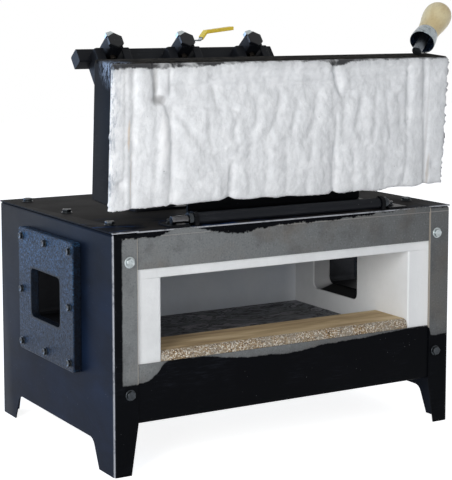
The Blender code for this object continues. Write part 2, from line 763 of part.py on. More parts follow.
def make_hinge_brackets(black, steel, zinc, root):
    """Two brackets with ears, the fixed rod through them and its collars."""
    along = (0, radians(90), 0)
    for label, side in (("left", -1), ("right", 1)):
        near = hinge_length / 2 + ear_play
        inner, outer = hinge_shift + side * near, hinge_shift + side * (near + ear_thickness)
        foot = case_height + gap
        front, back = hinge_y - bracket_toe, hinge_y - bracket_toe + bracket_depth
        ear = [(front, foot)]
        for step in range(9):
            turn = pi * (1 - step / 8)
            ear.append((hinge_y + ear_radius * cos(turn), hinge_height + ear_radius * sin(turn)))
        ear += [(back, foot + bracket_plate), (back, foot)]
        bracket = add_piece(label + "_hinge_bracket", prism(ear, inner, outer, "X"), black, root)
        far = outer + side * bracket_length
        low, high = sorted((outer - side * ear_thickness / 2, far))
        cut(bracket, box((low, front, foot), (high, back, foot + bracket_plate)), "UNION")
        cut(bracket, add_bore(bmesh.new(), (inner, hinge_y, hinge_height), (1, 0, 0), rod_radius + 2 * gap, overrun))
        tools = bmesh.new()
        # A slot in the foot clears the collar on the rod.
        slot = collar_ring_radius + 2 * gap
        low, high = sorted((outer - side * 2 * gap, outer + side * (collar_ring_length + 3 * gap)))
        add_box(tools, (low, hinge_y - overrun, foot - bracket_plate), (high, hinge_y + slot, foot + 2 * bracket_plate))
        cut(bracket, tools)

    reach = hinge_length / 2 + ear_play + ear_thickness
    left, right = -reach - rod_left_overhang, reach + rod_right_overhang
    rod = ((0, left), (rod_radius, left), (rod_radius, right), (0, right))
    add_piece("hinge_rod", lathe(rod, 16), steel, root, (hinge_shift, hinge_y, hinge_height), along, smooth=True)
    for name, end in (("left_hinge_collar", -1), ("right_hinge_collar", 1)):
        start = end * (hinge_length / 2 + ear_play + ear_thickness + gap)
        stop = start + end * collar_ring_length
        bore = rod_radius + gap
        ring = ((bore, start), (collar_ring_radius, start), (collar_ring_radius, stop), (bore, stop))
        add_piece(name, lathe(ring, 16, True), zinc, root, (hinge_shift, hinge_y, hinge_height), along, smooth=True)


# Door

def make_door(black, fibre, root):
    """The swinging shell, its blanket, pipe and leaf, on the hinge axis."""
    door = add_empty("door_hinge_axis", root, (0, hinge_y, hinge_height), (radians(door_lean_degrees), 0, 0))
    along = (0, radians(90), 0)

    face, back = door_face + door_edge_step, door_face + door_depth
    shape = box((-door_half, face, door_foot), (door_half, back, door_top))
    drop_faces(shape, (0, -1, 0))
    bevel_where(shape, door_bend, 2, lambda a, b: a.y > face or b.y > face)
    fold_sheet(add_piece("door_shell", shape, black, door), door_sheet)

    pipe = ((pipe_bore, -hinge_length / 2), (pipe_radius, -hinge_length / 2), (pipe_radius, hinge_length / 2),
            (pipe_bore, hinge_length / 2))
    add_piece("hinge_pipe", lathe(pipe, 24, True), black, door, (hinge_shift, 0, 0), along, smooth=True)
    add_piece("hinge_leaf", hinge_leaf_shape(), black, door)
    make_blanket(fibre, door)
    return door


def hinge_leaf_shape():
    """A strip welded to the pipe, turned up under the shell, with a heel that rests on the roof."""
    lean = radians(door_lean_degrees)
    # The heel's foot is where the roof lies, seen in the leaning door's own axes.
    fall = hinge_height - case_height - gap
    heel_front, heel_back = leaf_reach - leaf_thickness, leaf_reach

    def roof_at(y):
        return -(fall / cos(lean)) - y * tan(lean)

    low, high = -leaf_thickness / 2, leaf_thickness / 2
    start = pipe_radius + gap
    top = door_foot - gap
    outline = ((start, low), (heel_front, low), (heel_front, roof_at(heel_front)), (heel_back, roof_at(heel_back)),
               (heel_back, top), (heel_front, top), (heel_front, high), (start, high))
    half = hinge_length / 2 - leaf_margin
    return prism(outline, hinge_shift - half, hinge_shift + half, "X")


def make_blanket(fibre, door):
    """The fibre block in the door: crowned over the mouth, with soft vertical folds."""
    columns, rows = 36, 12
    side = door_half - door_sheet - blanket_play
    low, high = door_foot + door_sheet + blanket_play, door_top - door_sheet - blanket_play
    back = door_face + door_depth - door_sheet - blanket_play
    mouth_low, mouth_high = hinge_height - mouth_top, hinge_height - chamber_floor - sill_thickness
    shape = bmesh.new()

    def front(x, z):
        swell = 0
        if abs(x) < mouth_half and mouth_low < z < mouth_high:
            swell = cos(pi / 2 * x / mouth_half) ** 0.5 * sin(pi * (z - mouth_low) / (mouth_high - mouth_low))
            fold = blanket_fold * cos(x * 2 * pi / (mouth_width / 9))
            return door_face - blanket_crown * swell - fold * swell
        return door_face

    grid = []
    for i in range(columns + 1):
        x = -side + 2 * side * i / columns
        grid.append([shape.verts.new((x, front(x, low + (high - low) * j / rows), low + (high - low) * j / rows))
                     for j in range(rows + 1)])
    for i in range(columns):
        for j in range(rows):
            shape.faces.new((grid[i][j], grid[i + 1][j], grid[i + 1][j + 1], grid[i][j + 1]))
    rim = ([grid[i][0] for i in range(columns + 1)] + [grid[columns][j] for j in range(1, rows + 1)]
           + [grid[i][rows] for i in range(columns - 1, -1, -1)] + [grid[0][j] for j in range(rows - 1, 0, -1)])
    inset = [shape.verts.new((v.co.x, back, v.co.z)) for v in rim]
    for i in range(len(rim)):
        j = (i + 1) % len(rim)
        shape.faces.new((rim[i], rim[j], inset[j], inset[i]))
    shape.faces.new(inset)
    blanket = add_piece("door_blanket", shape, fibre, door, smooth=True)
    tools = bmesh.new()
    pocket_z = hinge_height - front_bolt_height
    for side_sign in (-1, 1):
        x = side_sign * (half_width - front_bolt_inset)
        add_lathe(tools, ((0, -overrun), (pocket_radius, -overrun), (pocket_radius, pocket_depth), (0, pocket_depth)), 12,
                  place=facing((x, door_face, pocket_z), (0, 1, 0)))
    cut(blanket, tools)


def make_handle(steel, zinc, wood, door):
    """A rod welded on the door's upper edge, with a cup ferrule and a turned wooden grip."""
    rise = radians(handle_rise_degrees)
    height = door_top + gap + handle_rod_radius * cos(rise)
    place = (door_half - handle_inset, door_face + handle_setback, height)
    axis = add_empty("handle_axis", door, place, (0, radians(90) - rise, radians(handle_turn_degrees)))

    rod = ((0, 0), (handle_rod_radius, 0), (handle_rod_radius, handle_rod_length), (0, handle_rod_length))
    add_piece("handle_rod", lathe(rod, 20), steel, axis, smooth=True)

    rim, back = ferrule_rim_radius, ferrule_back_radius
    bore = handle_rod_radius + gap
    start, stop = ferrule_start, ferrule_start + ferrule_length
    cup = ((bore, stop), (back, stop), (rim, start + ferrule_length / 3), (rim, start),
           (rim - ferrule_wall, start), (rim - ferrule_wall, start + ferrule_length / 3),
           (back - ferrule_wall, stop - ferrule_wall), (bore, stop - ferrule_wall))
    add_piece("handle_ferrule", lathe(cup, 32, True), zinc, axis, smooth=True)

    low = stop + gap
    pocket = handle_rod_length + gap
    belly = grip_belly_radius
    profile = [(0, pocket), (bore, pocket), (bore, low)]
    shape_share = ((0.0, 0.0), (0.14, 0.04), (0.3, 0.3), (0.46, 0.74), (0.6, 0.97), (0.7, 1.0))
    for along_share, swell_share in shape_share:
        profile.append((grip_neck_radius + (belly - grip_neck_radius) * swell_share, low + grip_length * along_share))
    dome = grip_length * (1 - shape_share[-1][0])
    for step in range(1, 6):
        turn = pi / 2 * step / 6
        profile.append((belly * cos(turn) ** 0.85, low + grip_length - dome * (1 - sin(turn))))
    profile.append((0, low + grip_length))
    add_piece("handle_grip", lathe(profile, 28), wood, axis, smooth=True)


# The whole forge

def seat_on_origin(root):
    """Move the root so that the part's box stands centred on the origin."""
    bpy.context.view_layer.update()
    depsgraph = bpy.context.evaluated_depsgraph_get()
    low, high = Vector((1e9,) * 3), Vector((-1e9,) * 3)
    for piece in bpy.context.scene.objects:
        if piece.type != "MESH" or piece.hide_render:
            continue
        solid = piece.evaluated_get(depsgraph)
        for vert in solid.data.vertices:
            spot = solid.matrix_world @ vert.co
            low = Vector(map(min, low, spot))
            high = Vector(map(max, high, spot))
    root.location = (-(low.x + high.x) / 2, -(low.y + high.y) / 2, -low.z)
    bpy.context.view_layer.update()


def main():
    for piece in list(bpy.data.objects):
        bpy.data.objects.remove(piece, do_unlink=True)

    paint = material("black paint", (0.012, 0.012, 0.014), 0.35, 0)
    hammered = material("hammered blue black paint", (0.05, 0.07, 0.12), 0.4, 0.3)
    bare = material("bare steel", (0.35, 0.35, 0.36), 0.4, 1)
    zinc = material("zinc plate", (0.62, 0.64, 0.66), 0.3, 1)
    brass = material("brass", (0.7, 0.52, 0.22), 0.3, 1)
    fibre = material("ceramic fibre", (0.85, 0.86, 0.86), 1, 0)
    hearth = material("sooty hearth", (0.07, 0.07, 0.075), 0.9, 0)
    sill = material("tan refractory", (0.62, 0.42, 0.22), 0.9, 0)
    wood = material("birch", (0.72, 0.55, 0.35), 0.5, 0)
    yellow = material("yellow vinyl", (0.85, 0.68, 0.06), 0.4, 0)
    white = material("white plastic", (0.9, 0.9, 0.88), 0.4, 0)

    root = add_empty("forge")
    make_side_panel("left_side_panel", -1, paint, root)
    make_side_panel("right_side_panel", 1, paint, root)
    make_end_panel("front_panel", -1, paint, root)
    make_end_panel("rear_panel", 1, paint, root)
    make_roof(paint, root)
    make_floor_pan(paint, root)
    make_lining(fibre, {"hearth": hearth, "sill": sill}, root)
    make_port(-1, "left", hammered, bare, root)
    make_port(1, "right", hammered, bare, root)
    for number, x in enumerate(burner_places(), 1):
        make_burner(number, x, paint, root)
    rail = make_rail(paint, root)
    make_jet_blocks(paint, zinc, brass, rail)
    make_valve(brass, zinc, white, yellow, bare, root)
    make_hinge_brackets(paint, bare, zinc, root)
    door = make_door(paint, fibre, root)
    make_handle(bare, zinc, wood, door)
    seat_on_origin(root)


main()
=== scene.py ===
"""Looks of a gas forge: painted and heat-bared sheet steel, soft fibre lining, bolts and a plain stage."""

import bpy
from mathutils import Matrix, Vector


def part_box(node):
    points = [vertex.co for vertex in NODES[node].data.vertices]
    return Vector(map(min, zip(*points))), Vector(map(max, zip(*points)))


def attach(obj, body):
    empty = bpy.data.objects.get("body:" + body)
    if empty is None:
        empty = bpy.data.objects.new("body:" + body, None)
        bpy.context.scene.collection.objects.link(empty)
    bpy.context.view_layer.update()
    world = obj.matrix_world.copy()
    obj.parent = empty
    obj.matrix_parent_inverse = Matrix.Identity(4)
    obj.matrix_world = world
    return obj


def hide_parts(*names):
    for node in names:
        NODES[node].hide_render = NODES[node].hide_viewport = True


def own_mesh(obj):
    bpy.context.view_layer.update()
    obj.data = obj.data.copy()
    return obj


bl_info = {
    "name": "Gas forge looks",
    "version": (1, 0, 0),
    "blender": (4, 5, 0),
    "location": "View3D > Sidebar > Forge",
    "description": "Dresses the packed gas forge model and sets its stage",
    "category": "Object",
}

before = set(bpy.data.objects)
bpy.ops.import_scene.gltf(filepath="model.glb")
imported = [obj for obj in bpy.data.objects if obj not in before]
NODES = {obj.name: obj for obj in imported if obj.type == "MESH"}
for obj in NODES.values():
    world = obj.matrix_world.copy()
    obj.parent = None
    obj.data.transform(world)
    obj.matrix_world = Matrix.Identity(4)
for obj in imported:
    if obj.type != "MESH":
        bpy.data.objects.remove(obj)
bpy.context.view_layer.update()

from math import radians

import bpy
import numpy as np
from bpy.props import FloatProperty, FloatVectorProperty, PointerProperty
from mathutils import Matrix, Vector, noise

MM = 0.001
SIDE_LOW, SIDE_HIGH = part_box("left_side_panel")
ROD_LOW, ROD_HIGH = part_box("hinge_rod")
PLATE_LOW, PLATE_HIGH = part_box("left_port_plate")
SLEEVE_LOW, SLEEVE_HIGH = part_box("left_port_sleeve")
WALL_LOW, WALL_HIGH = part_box("right_wall_lining")
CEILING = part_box("ceiling_lining")[0][2]
ROOF_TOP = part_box("roof_cover")[1][2]
LEFT_FACE, FRONT_FACE = SIDE_LOW[0], SIDE_LOW[1]
RIGHT_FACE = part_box("right_side_panel")[1][0]
REAR_FACE = SIDE_HIGH[1]
CASE_X = (LEFT_FACE + RIGHT_FACE) / 2
CASE_Y = (FRONT_FACE + REAR_FACE) / 2
HALF_WIDTH = RIGHT_FACE - CASE_X
MOUTH_HALF = WALL_LOW[0] - CASE_X
HINGE = Vector((CASE_X, (ROD_LOW[1] + ROD_HIGH[1]) / 2, (ROD_LOW[2] + ROD_HIGH[2]) / 2))
DOOR_PLACE = Matrix.Translation(HINGE) @ Matrix.Rotation(radians(4), 4, "X")


# Small helpers for building pieces

def deselect_all():
    if bpy.context.mode != "OBJECT":
        bpy.ops.object.mode_set(mode="OBJECT")
    bpy.ops.object.select_all(action="DESELECT")


def pick(piece):
    deselect_all()
    piece.select_set(True)
    bpy.context.view_layer.objects.active = piece


def apply_modifiers(piece):
    pick(piece)
    for modifier in list(piece.modifiers):
        bpy.ops.object.modifier_apply(modifier=modifier.name)


def bevel_edges(piece, width, segments=2, angle=35):
    modifier = piece.modifiers.new("soft edges", "BEVEL")
    modifier.width = width
    modifier.segments = segments
    modifier.limit_method = "ANGLE"
    modifier.angle_limit = radians(angle)
    modifier.harden_normals = False
    apply_modifiers(piece)


def smooth(piece, angle=40):
    pick(piece)
    bpy.ops.object.shade_smooth_by_angle(angle=radians(angle))


def finish_piece(piece, name, finish, body):
    piece.name = name
    piece.data.name = name
    piece.data.materials.clear()
    piece.data.materials.append(finishes()[finish])
    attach(piece, body)


def join(pieces):
    deselect_all()
    for piece in pieces:
        piece.select_set(True)
    bpy.context.view_layer.objects.active = pieces[0]
    if len(pieces) > 1:
        bpy.ops.object.join()
    return bpy.context.view_layer.objects.active


def copies(master, places):
    """One joined piece with a copy of the master at each placement."""
    made = []
    for place in places:
        copy = master.copy()
        copy.data = master.data.copy()
        bpy.context.collection.objects.link(copy)
        copy.data.transform(place)
        made.append(copy)
    bpy.data.objects.remove(master, do_unlink=True)
    return join(made)


def facing(point, direction, turn=0):
    """A placement at a point whose Z runs along the direction."""
    aim = Vector((0, 0, 1)).rotation_difference(Vector(direction)).to_matrix().to_4x4()
    return Matrix.Translation(Vector(point)) @ aim @ Matrix.Rotation(radians(turn), 4, "Z")


def worked_copy(name, edge, body, finish, slot, where=None, slices=()):
    """A copy of a CAD node with merged faces and eased edges, all or those that where chooses.

    The edge is in millimetres. The slices are places along X at which edges are cut first, so that only a
    stretch of them is eased.
    """
    piece = NODES[name].copy()
    piece.data = NODES[name].data.copy()
    piece.parent = None
    bpy.context.collection.objects.link(piece)
    piece.matrix_world = Matrix()
    pick(piece)
    bpy.ops.object.mode_set(mode="EDIT")
    bpy.ops.mesh.select_all(action="SELECT")
    bpy.ops.mesh.remove_doubles(threshold=0.01 * MM)
    bpy.ops.mesh.dissolve_limited(angle_limit=radians(1))
    for x in slices:
        bpy.ops.mesh.select_all(action="SELECT")
        bpy.ops.mesh.bisect(plane_co=(x, 0, 0), plane_no=(1, 0, 0))
    bpy.ops.mesh.select_all(action="DESELECT")
    bpy.ops.object.mode_set(mode="OBJECT")
    if edge and where:
        spots = piece.data.vertices
        for line in piece.data.edges:
            line.select = all(where(spots[i].co) for i in line.vertices)
        bpy.ops.object.mode_set(mode="EDIT")
        bpy.ops.mesh.select_mode(type="EDGE")
        bpy.ops.mesh.bevel(offset=edge * MM, segments=2)
        bpy.ops.object.mode_set(mode="OBJECT")
    elif edge:
        bevel_edges(piece, edge * MM, angle=30)
    smooth(piece)
    if edge:
        piece.modifiers.new("flat faces", "WEIGHTED_NORMAL").keep_sharp = True
        apply_modifiers(piece)
    finish_piece(piece, name + "_finished", finish, body)
    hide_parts(name)
    return piece


def work_copies(rows):
    """Worked copies of the nodes that the rows name, with their edge, body, finish and slot."""
    for names, *rest in rows:
        for name in names.split():
            worked_copy(name, *rest)


def coat(names, finish):
    """Give CAD nodes a finish in place."""
    for name in names.split():
        piece = NODES[name]
        if piece.material_slots:
            for slot in piece.material_slots:
                slot.material = finishes()[finish]
        else:
            piece.data.materials.append(finishes()[finish])


# Shader nodes

def shade(colour, factor):
    """A colour made lighter or darker."""
    return tuple(channel * factor for channel in colour)


def is_socket(value):
    return isinstance(value, bpy.types.NodeSocket)


class Nodes:
    """Adds shader nodes to a tree. An input is given as another node's socket or as a plain value."""

    def __init__(self, tree):
        self.tree = tree

    def fill(self, item, inputs):
        for key, value in inputs.items():
            if is_socket(value):
                self.tree.links.new(value, item.inputs[key])
            else:
                item.inputs[key].default_value = value
        return item

    def add(self, kind, inputs=None, **settings):
        item = self.tree.nodes.new("ShaderNode" + kind)
        for key, value in settings.items():
            setattr(item, key, value)
        return self.fill(item, inputs or {})

    def maths(self, operation, first, second=0.0, clamp=False):
        return self.add("Math", {0: first, 1: second}, operation=operation, use_clamp=clamp).outputs[0]

    def times(self, first, *others):
        for other in others:
            first = self.maths("MULTIPLY", first, other)
        return first

    def plus(self, first, second, clamp=False):
        return self.maths("ADD", first, second, clamp)

    def minus(self, first, second):
        return self.maths("SUBTRACT", first, second)

    def gap(self, first, second):
        """How far two values are apart."""
        return self.maths("ABSOLUTE", self.minus(first, second))

    def below(self, value, limit):
        return self.maths("LESS_THAN", value, limit)

    def above(self, value, limit):
        return self.maths("GREATER_THAN", value, limit)

    def vector(self, operation, *values, output=0):
        return self.add("VectorMath", dict(enumerate(values)), operation=operation).outputs[output]

    def mix(self, factor, first, second):
        """A blend of two colours."""
        first, second = (value if is_socket(value) else (*value, 1) for value in (first, second))
        return self.add("Mix", {0: factor, 6: first, 7: second}, data_type="RGBA").outputs[2]

    def blend(self, factor, first, second):
        """A blend of two values."""
        return self.add("Mix", {0: factor, 2: first, 3: second}, data_type="FLOAT").outputs[0]

    def cloudy(self, vector, scale, detail=2.0, roughness=0.5, distortion=0.0):
        inputs = {"Vector": vector, "Scale": scale, "Detail": detail, "Roughness": roughness,
                  "Distortion": distortion}
        return self.add("TexNoise", inputs).outputs["Fac"]

    def cells(self, vector, scale):
        return self.add("TexVoronoi", {"Vector": vector, "Scale": scale}).outputs

    def stretched(self, vector, scale):
        return self.add("Mapping", {"Vector": vector, "Scale": scale}).outputs[0]

    def graded(self, value, low, high, start=0.0, end=1.0):
        """The value's way from low to high, as a way from start to end."""
        return self.add("MapRange", {"Value": value, "From Min": low, "From Max": high, "To Min": start,
                                     "To Max": end}, clamp=True).outputs[0]

    def colours(self, value, stops):
        item = self.add("ValToRGB", {"Fac": value})
        ramp = item.color_ramp
        for extra in range(len(stops) - 2):
            ramp.elements.new(0.5)
        for element, (position, colour) in zip(ramp.elements, stops):
            element.position = position
            element.color = (*colour, 1)
        return item.outputs["Color"]

    def curve(self, value, points):
        item = self.add("FloatCurve", {"Value": value})
        curve = item.mapping.curves[0]
        curve.points[0].location = points[0]
        curve.points[1].location = points[-1]
        for point in points[1:-1]:
            curve.points.new(*point)
        item.mapping.update()
        return item.outputs[0]

    def bump(self, height, strength, distance):
        inputs = {"Height": height, "Strength": strength, "Distance": distance}
        return self.add("Bump", inputs).outputs["Normal"]

    def split(self, vector):
        return self.add("SeparateXYZ", {0: vector}).outputs

    def use(self, group, **inputs):
        """Place a node group and return what it puts out."""
        return self.fill(self.add("Group", node_tree=group), inputs).outputs

    def ragged(self, vector, distance, softness, wobble):
        return self.use(ragged_edge(), Vector=vector, Distance=distance, Softness=softness, Wobble=wobble)[0]


class Finish(Nodes):
    """A new material, with its shader and the place on the object. The finishes below call it f."""

    def __init__(self, name):
        self.material = bpy.data.materials.new(name)
        self.material.use_nodes = True
        super().__init__(self.material.node_tree)
        self.shader = self.tree.nodes["Principled BSDF"]
        self.place = self.add("TexCoord").outputs["Object"]

    def wire(self, **sockets):
        """Link or set the shader's sockets by name, with spaces for underscores."""
        self.fill(self.shader, {key.replace("_", " "): value for key, value in sockets.items()})
        return self.material


def new_group(name, inputs, outputs):
    """A node group with named inputs and outputs, of which Vector is a vector and the others are values."""
    group = bpy.data.node_groups.new(name, "ShaderNodeTree")
    for labels, way in ((inputs, "INPUT"), (outputs, "OUTPUT")):
        for label in labels:
            kind = "NodeSocketVector" if label == "Vector" else "NodeSocketFloat"
            group.interface.new_socket(name=label, in_out=way, socket_type=kind)
    return Nodes(group), group.nodes.new("NodeGroupInput").outputs, group.nodes.new("NodeGroupOutput")


def ragged_edge():
    """A mask that grows with a distance, with a wobbling edge, as where paint has burnt away."""
    found = bpy.data.node_groups.get("ragged edge")
    if found:
        return found
    nodes, start, end = new_group("ragged edge", ("Vector", "Distance", "Softness", "Wobble"), ("Mask",))
    broad = nodes.cloudy(start["Vector"], 55, 3, 0.6)
    fine = nodes.cloudy(start["Vector"], 260, 3, 0.6)
    both = nodes.plus(nodes.times(broad, 0.7), nodes.times(fine, 0.3))
    moved = nodes.plus(start["Distance"], nodes.times(nodes.minus(both, 0.5), start["Wobble"]))
    nodes.fill(end, {"Mask": nodes.plus(nodes.maths("DIVIDE", moved, start["Softness"]), 0.5, clamp=True)})
    return nodes.tree


def handling_marks():
    """Fine scuffs and dust specks, as two masks."""
    found = bpy.data.node_groups.get("handling marks")
    if found:
        return found
    nodes, start, end = new_group("handling marks", ("Vector", "Amount"), ("Scuffs", "Specks"))
    place, amount = start["Vector"], start["Amount"]
    patches = nodes.graded(nodes.cloudy(place, 9, 4, 0.6), 0.5, 0.75)
    streaks = nodes.graded(nodes.cloudy(nodes.stretched(place, (40, 40, 420)), 1.0, 4, 0.7), 0.5, 0.75)
    dots = nodes.graded(nodes.cells(place, 130.0)["Distance"], 0.09, 0.03)
    chosen = nodes.graded(nodes.cloudy(place, 31, 2, 0.5), 0.52, 0.62)
    nodes.fill(end, {"Scuffs": nodes.times(patches, streaks, amount),
                     "Specks": nodes.times(dots, chosen, amount)})
    return nodes.tree


# Finishes

def satin_paint(name, colour, roughness=0.36, marks=0.35, gloss=0.06, corner=None):
    """Satin enamel with a faint orange peel, specks of dust and scuffs, scratched pale about a corner."""
    f = Finish(name)
    scuffs, specks = f.use(handling_marks(), Vector=f.place, Amount=marks)
    base = f.mix(f.cloudy(f.place, 6, 3, 0.5), shade(colour, 0.8), shade(colour, 1.3))
    base = f.mix(scuffs, base, (0.05, 0.05, 0.055))
    base = f.mix(specks, base, (0.22, 0.22, 0.22))
    rough = f.plus(roughness - 0.06, f.times(f.cloudy(f.place, 22, 3), 0.14))
    if corner:
        away = f.vector("DISTANCE", f.place, corner, output="Value")
        hairs = f.cloudy(f.stretched(f.place, (260, 260, 90)), 1.0, 4, 0.75, 1.5)
        worn = f.times(f.graded(away, 40 * MM, 12 * MM), f.graded(hairs, 0.47, 0.54))
        # Dust dulls the top face.
        dull = f.above(f.split(f.place)["Z"], corner[2] - 1.5 * MM)
        dust = f.graded(f.cloudy(f.place, 70, 5, 0.7), 0.35, 0.65)
        base = f.mix(f.times(dull, dust), base, (0.05, 0.046, 0.04))
        base = f.mix(worn, base, (0.27, 0.33, 0.43))
        rough = f.maths("MAXIMUM", rough, f.times(dull, 0.95))
    return f.wire(Base_Color=base, Roughness=rough, Normal=f.bump(f.cloudy(f.place, 900), 0.12, 0.4 * MM),
                  Specular_IOR_Level=gloss)


# Heights of the lower and upper edges of the steel bared by heat, against the way along the front. Both run
# from 0 to 1, and the heights are shares of a reach above a base.
BARE_LOWER = ((0.0, 0.37), (0.066, 0.345), (0.12, 0.48), (0.15, 0.63), (0.25, 0.62), (0.31, 0.57),
              (0.4, 0.52), (0.52, 0.505), (0.58, 0.55), (0.64, 0.56), (0.8, 0.6), (0.9, 0.63), (0.936, 0.62),
              (0.94, 0.47), (1.0, 0.47))
BARE_UPPER = ((0.0, 0.9), (0.1, 0.62), (0.17, 0.95), (0.3, 0.55), (0.35, 0.45), (0.41, 0.62), (0.53, 0.72),
              (0.67, 0.77), (0.84, 0.92), (1.0, 0.93))
LOWER_BASE, LOWER_REACH = 100 * MM, 100 * MM
UPPER_BASE, UPPER_REACH = 330 * MM, 30 * MM
FRONT_DEPTH = 4.5 * MM
SEAM_INSET = 39.7 * MM


def case_paint(f, looks, x, y, z):
    """The case's colour where its paint is whole, the dust on it, and its painted reflections and highlights.
    """
    place = f.place
    scuffs, specks = f.use(handling_marks(), Vector=place, Amount=0.6)
    paint = f.mix(f.cloudy(place, 5, 3), shade(looks.paint_colour, 0.8), shade(looks.paint_colour, 1.4))
    # Painted reflection: a navy cast on the sides, the cool light from the left mirrored in them, that grows
    # towards the floor and the front.
    flank = f.graded(f.gap(x, CASE_X), HALF_WIDTH - 2.5 * MM, HALF_WIDTH - 1.5 * MM)
    flank = f.times(flank, f.below(z, ROOF_TOP - 2 * MM))
    forward = f.times(f.minus(FRONT_FACE + 420 * MM, y), 0.5)
    depth = f.graded(f.minus(forward, z), -300 * MM, 150 * MM, 0.15, 1.0)
    sheen = f.graded(f.cloudy(f.stretched(place, (1, 1, 2.2)), 7, 5, 0.65, 0.8), 0.32, 0.68, 0.35, 1.0)
    foot = f.graded(z, 0.0, 120 * MM, 0.55, 1.0)
    paint = f.mix(f.times(flank, depth, sheen, foot), paint, (0.01, 0.021, 0.05))
    paint = f.mix(scuffs, paint, (0.03, 0.034, 0.045))
    paint = f.mix(specks, paint, (0.25, 0.25, 0.26))
    top = f.above(z, ROOF_TOP - 0.8 * MM)
    dust = f.times(top, f.graded(f.cloudy(place, 16, 4, 0.6), 0.3, 0.7, 0.55, 1.0))
    paint = f.mix(dust, paint, (0.037, 0.035, 0.0335))

    # Painted highlight along the bend at the left corner and the roof's front edge, broken up like paint
    # rubbed thin.
    bend = f.times(f.graded(x, LEFT_FACE + 2.2 * MM, LEFT_FACE + 1.2 * MM),
                   f.graded(y, FRONT_FACE + FRONT_DEPTH, FRONT_FACE + 2 * MM))
    brink = f.times(f.graded(y, FRONT_FACE + 2.2 * MM, FRONT_FACE + 1.2 * MM),
                    f.above(z, ROOF_TOP - 2.8 * MM))
    broken = f.graded(f.cloudy(place, 60, 4, 0.7), 0.25, 0.5)
    painted_edge_highlight = f.times(f.maths("MAXIMUM", bend, brink), broken, 0.9)
    paint = f.mix(painted_edge_highlight, paint, (0.46, 0.47, 0.5))

    # Painted reflections on the roof near its left front corner: dark blue-black patches with blue glints in
    # them.
    near = f.times(f.graded(y, FRONT_FACE + 150 * MM, FRONT_FACE + 70 * MM),
                   f.graded(x, 100 * MM, -100 * MM, 0.25, 1.0))
    patches = f.graded(f.cloudy(f.stretched(place, (1, 1.6, 1)), 14, 4, 0.6, 0.6), 0.42, 0.56)
    clear = f.times(top, near, patches)
    paint = f.mix(clear, paint, (0.004, 0.006, 0.011))
    painted_blue_glint = f.graded(f.cloudy(f.stretched(place, (0.7, 2.4, 1)), 26, 4, 0.65, 0.6), 0.56, 0.64)
    return f.mix(f.times(clear, painted_blue_glint), paint, (0.016, 0.04, 0.11)), dust


def case_steel(f, looks, along, x, z, haze, grain):
    """The case's colour where heat has bared its steel."""
    place = f.place
    steel = f.mix(grain, shade(looks.steel_colour, 0.85), shade(looks.steel_colour, 1.12))
    # Painted shade: the bare steel darkens towards the right.
    steel = f.mix(f.graded(along, 0.2, 1.0, 0.0, 0.6), steel, (0.085, 0.086, 0.088))
    speckle = f.cloudy(place, 380, 3, 0.65)
    stain = f.cloudy(place, 11, 4, 0.6, 0.6)
    smudge = f.cloudy(place, 24, 4, 0.65)
    for value, low, high, start, end, colour in (
            (speckle, 0.54, 0.7, 0.0, 0.45, (0.06, 0.06, 0.06)),
            (speckle, 0.42, 0.3, 0.0, 0.4, (0.3, 0.31, 0.31)),
            (stain, 0.5, 0.78, 0.0, 0.5, (0.15, 0.125, 0.1)),
            (smudge, 0.5, 0.75, 0.0, 0.75, (0.085, 0.085, 0.085)),
            (haze, 0.0, 1.0, 0.5, 0.0, (0.02, 0.02, 0.022))):
        steel = f.mix(f.graded(value, low, high, start, end), steel, colour)
    # The sheets' cut edges catch the light beside the front corners and under the roof's lip.
    seam = f.maths("MINIMUM", f.gap(x, LEFT_FACE + SEAM_INSET), f.gap(x, RIGHT_FACE - SEAM_INSET))
    steel = f.mix(f.graded(seam, 1.2 * MM, 0.5 * MM, 0.0, 0.9), steel, (0.42, 0.38, 0.33))
    lip = f.graded(f.gap(z, ROOF_TOP - 9.8 * MM), 0.8 * MM, 0.3 * MM, 0.0, 0.6)
    return f.mix(lip, steel, (0.38, 0.36, 0.34))


def case_finish(looks):
    """Black satin paint with the band round the mouth heated down to bare grey steel."""
    f = Finish("case paint and heat-bared steel")
    place = f.place
    x, y, z = f.split(place)
    along = f.maths("DIVIDE", f.minus(x, LEFT_FACE), RIGHT_FACE - LEFT_FACE)
    low = f.plus(LOWER_BASE, f.times(f.curve(along, BARE_LOWER), LOWER_REACH))
    high = f.plus(UPPER_BASE, f.times(f.curve(along, BARE_UPPER), UPPER_REACH))
    bare = f.times(f.ragged(place, f.minus(z, low), 1.6 * MM, 9 * MM),
                   f.ragged(place, f.minus(high, z), 1.6 * MM, 20 * MM),
                   f.ragged(place, f.minus(x, LEFT_FACE + 14.5 * MM), 2 * MM, 4 * MM),
                   f.below(y, FRONT_FACE + FRONT_DEPTH))
    haze = f.ragged(place, f.minus(z, low), 30 * MM, 20 * MM)
    grain = f.cloudy(f.stretched(place, (260, 260, 14)), 1.0, 4, 0.6)
    paint, dust = case_paint(f, looks, x, y, z)
    steel = case_steel(f, looks, along, x, z, haze, grain)
    rough_paint = f.plus(f.plus(0.26, f.times(f.cloudy(place, 18, 3), 0.16)), f.times(dust, 0.4))
    rough_steel = f.plus(0.45, f.times(grain, 0.2))
    height = f.plus(f.times(f.cloudy(place, 900), 0.4), f.times(bare, -0.6))
    return f.wire(Base_Color=f.mix(bare, paint, steel), Roughness=f.blend(bare, rough_paint, rough_steel),
                  Metallic=f.times(bare, 0.35), Normal=f.bump(height, 0.25, 0.4 * MM),
                  Specular_IOR_Level=looks.paint_gloss)


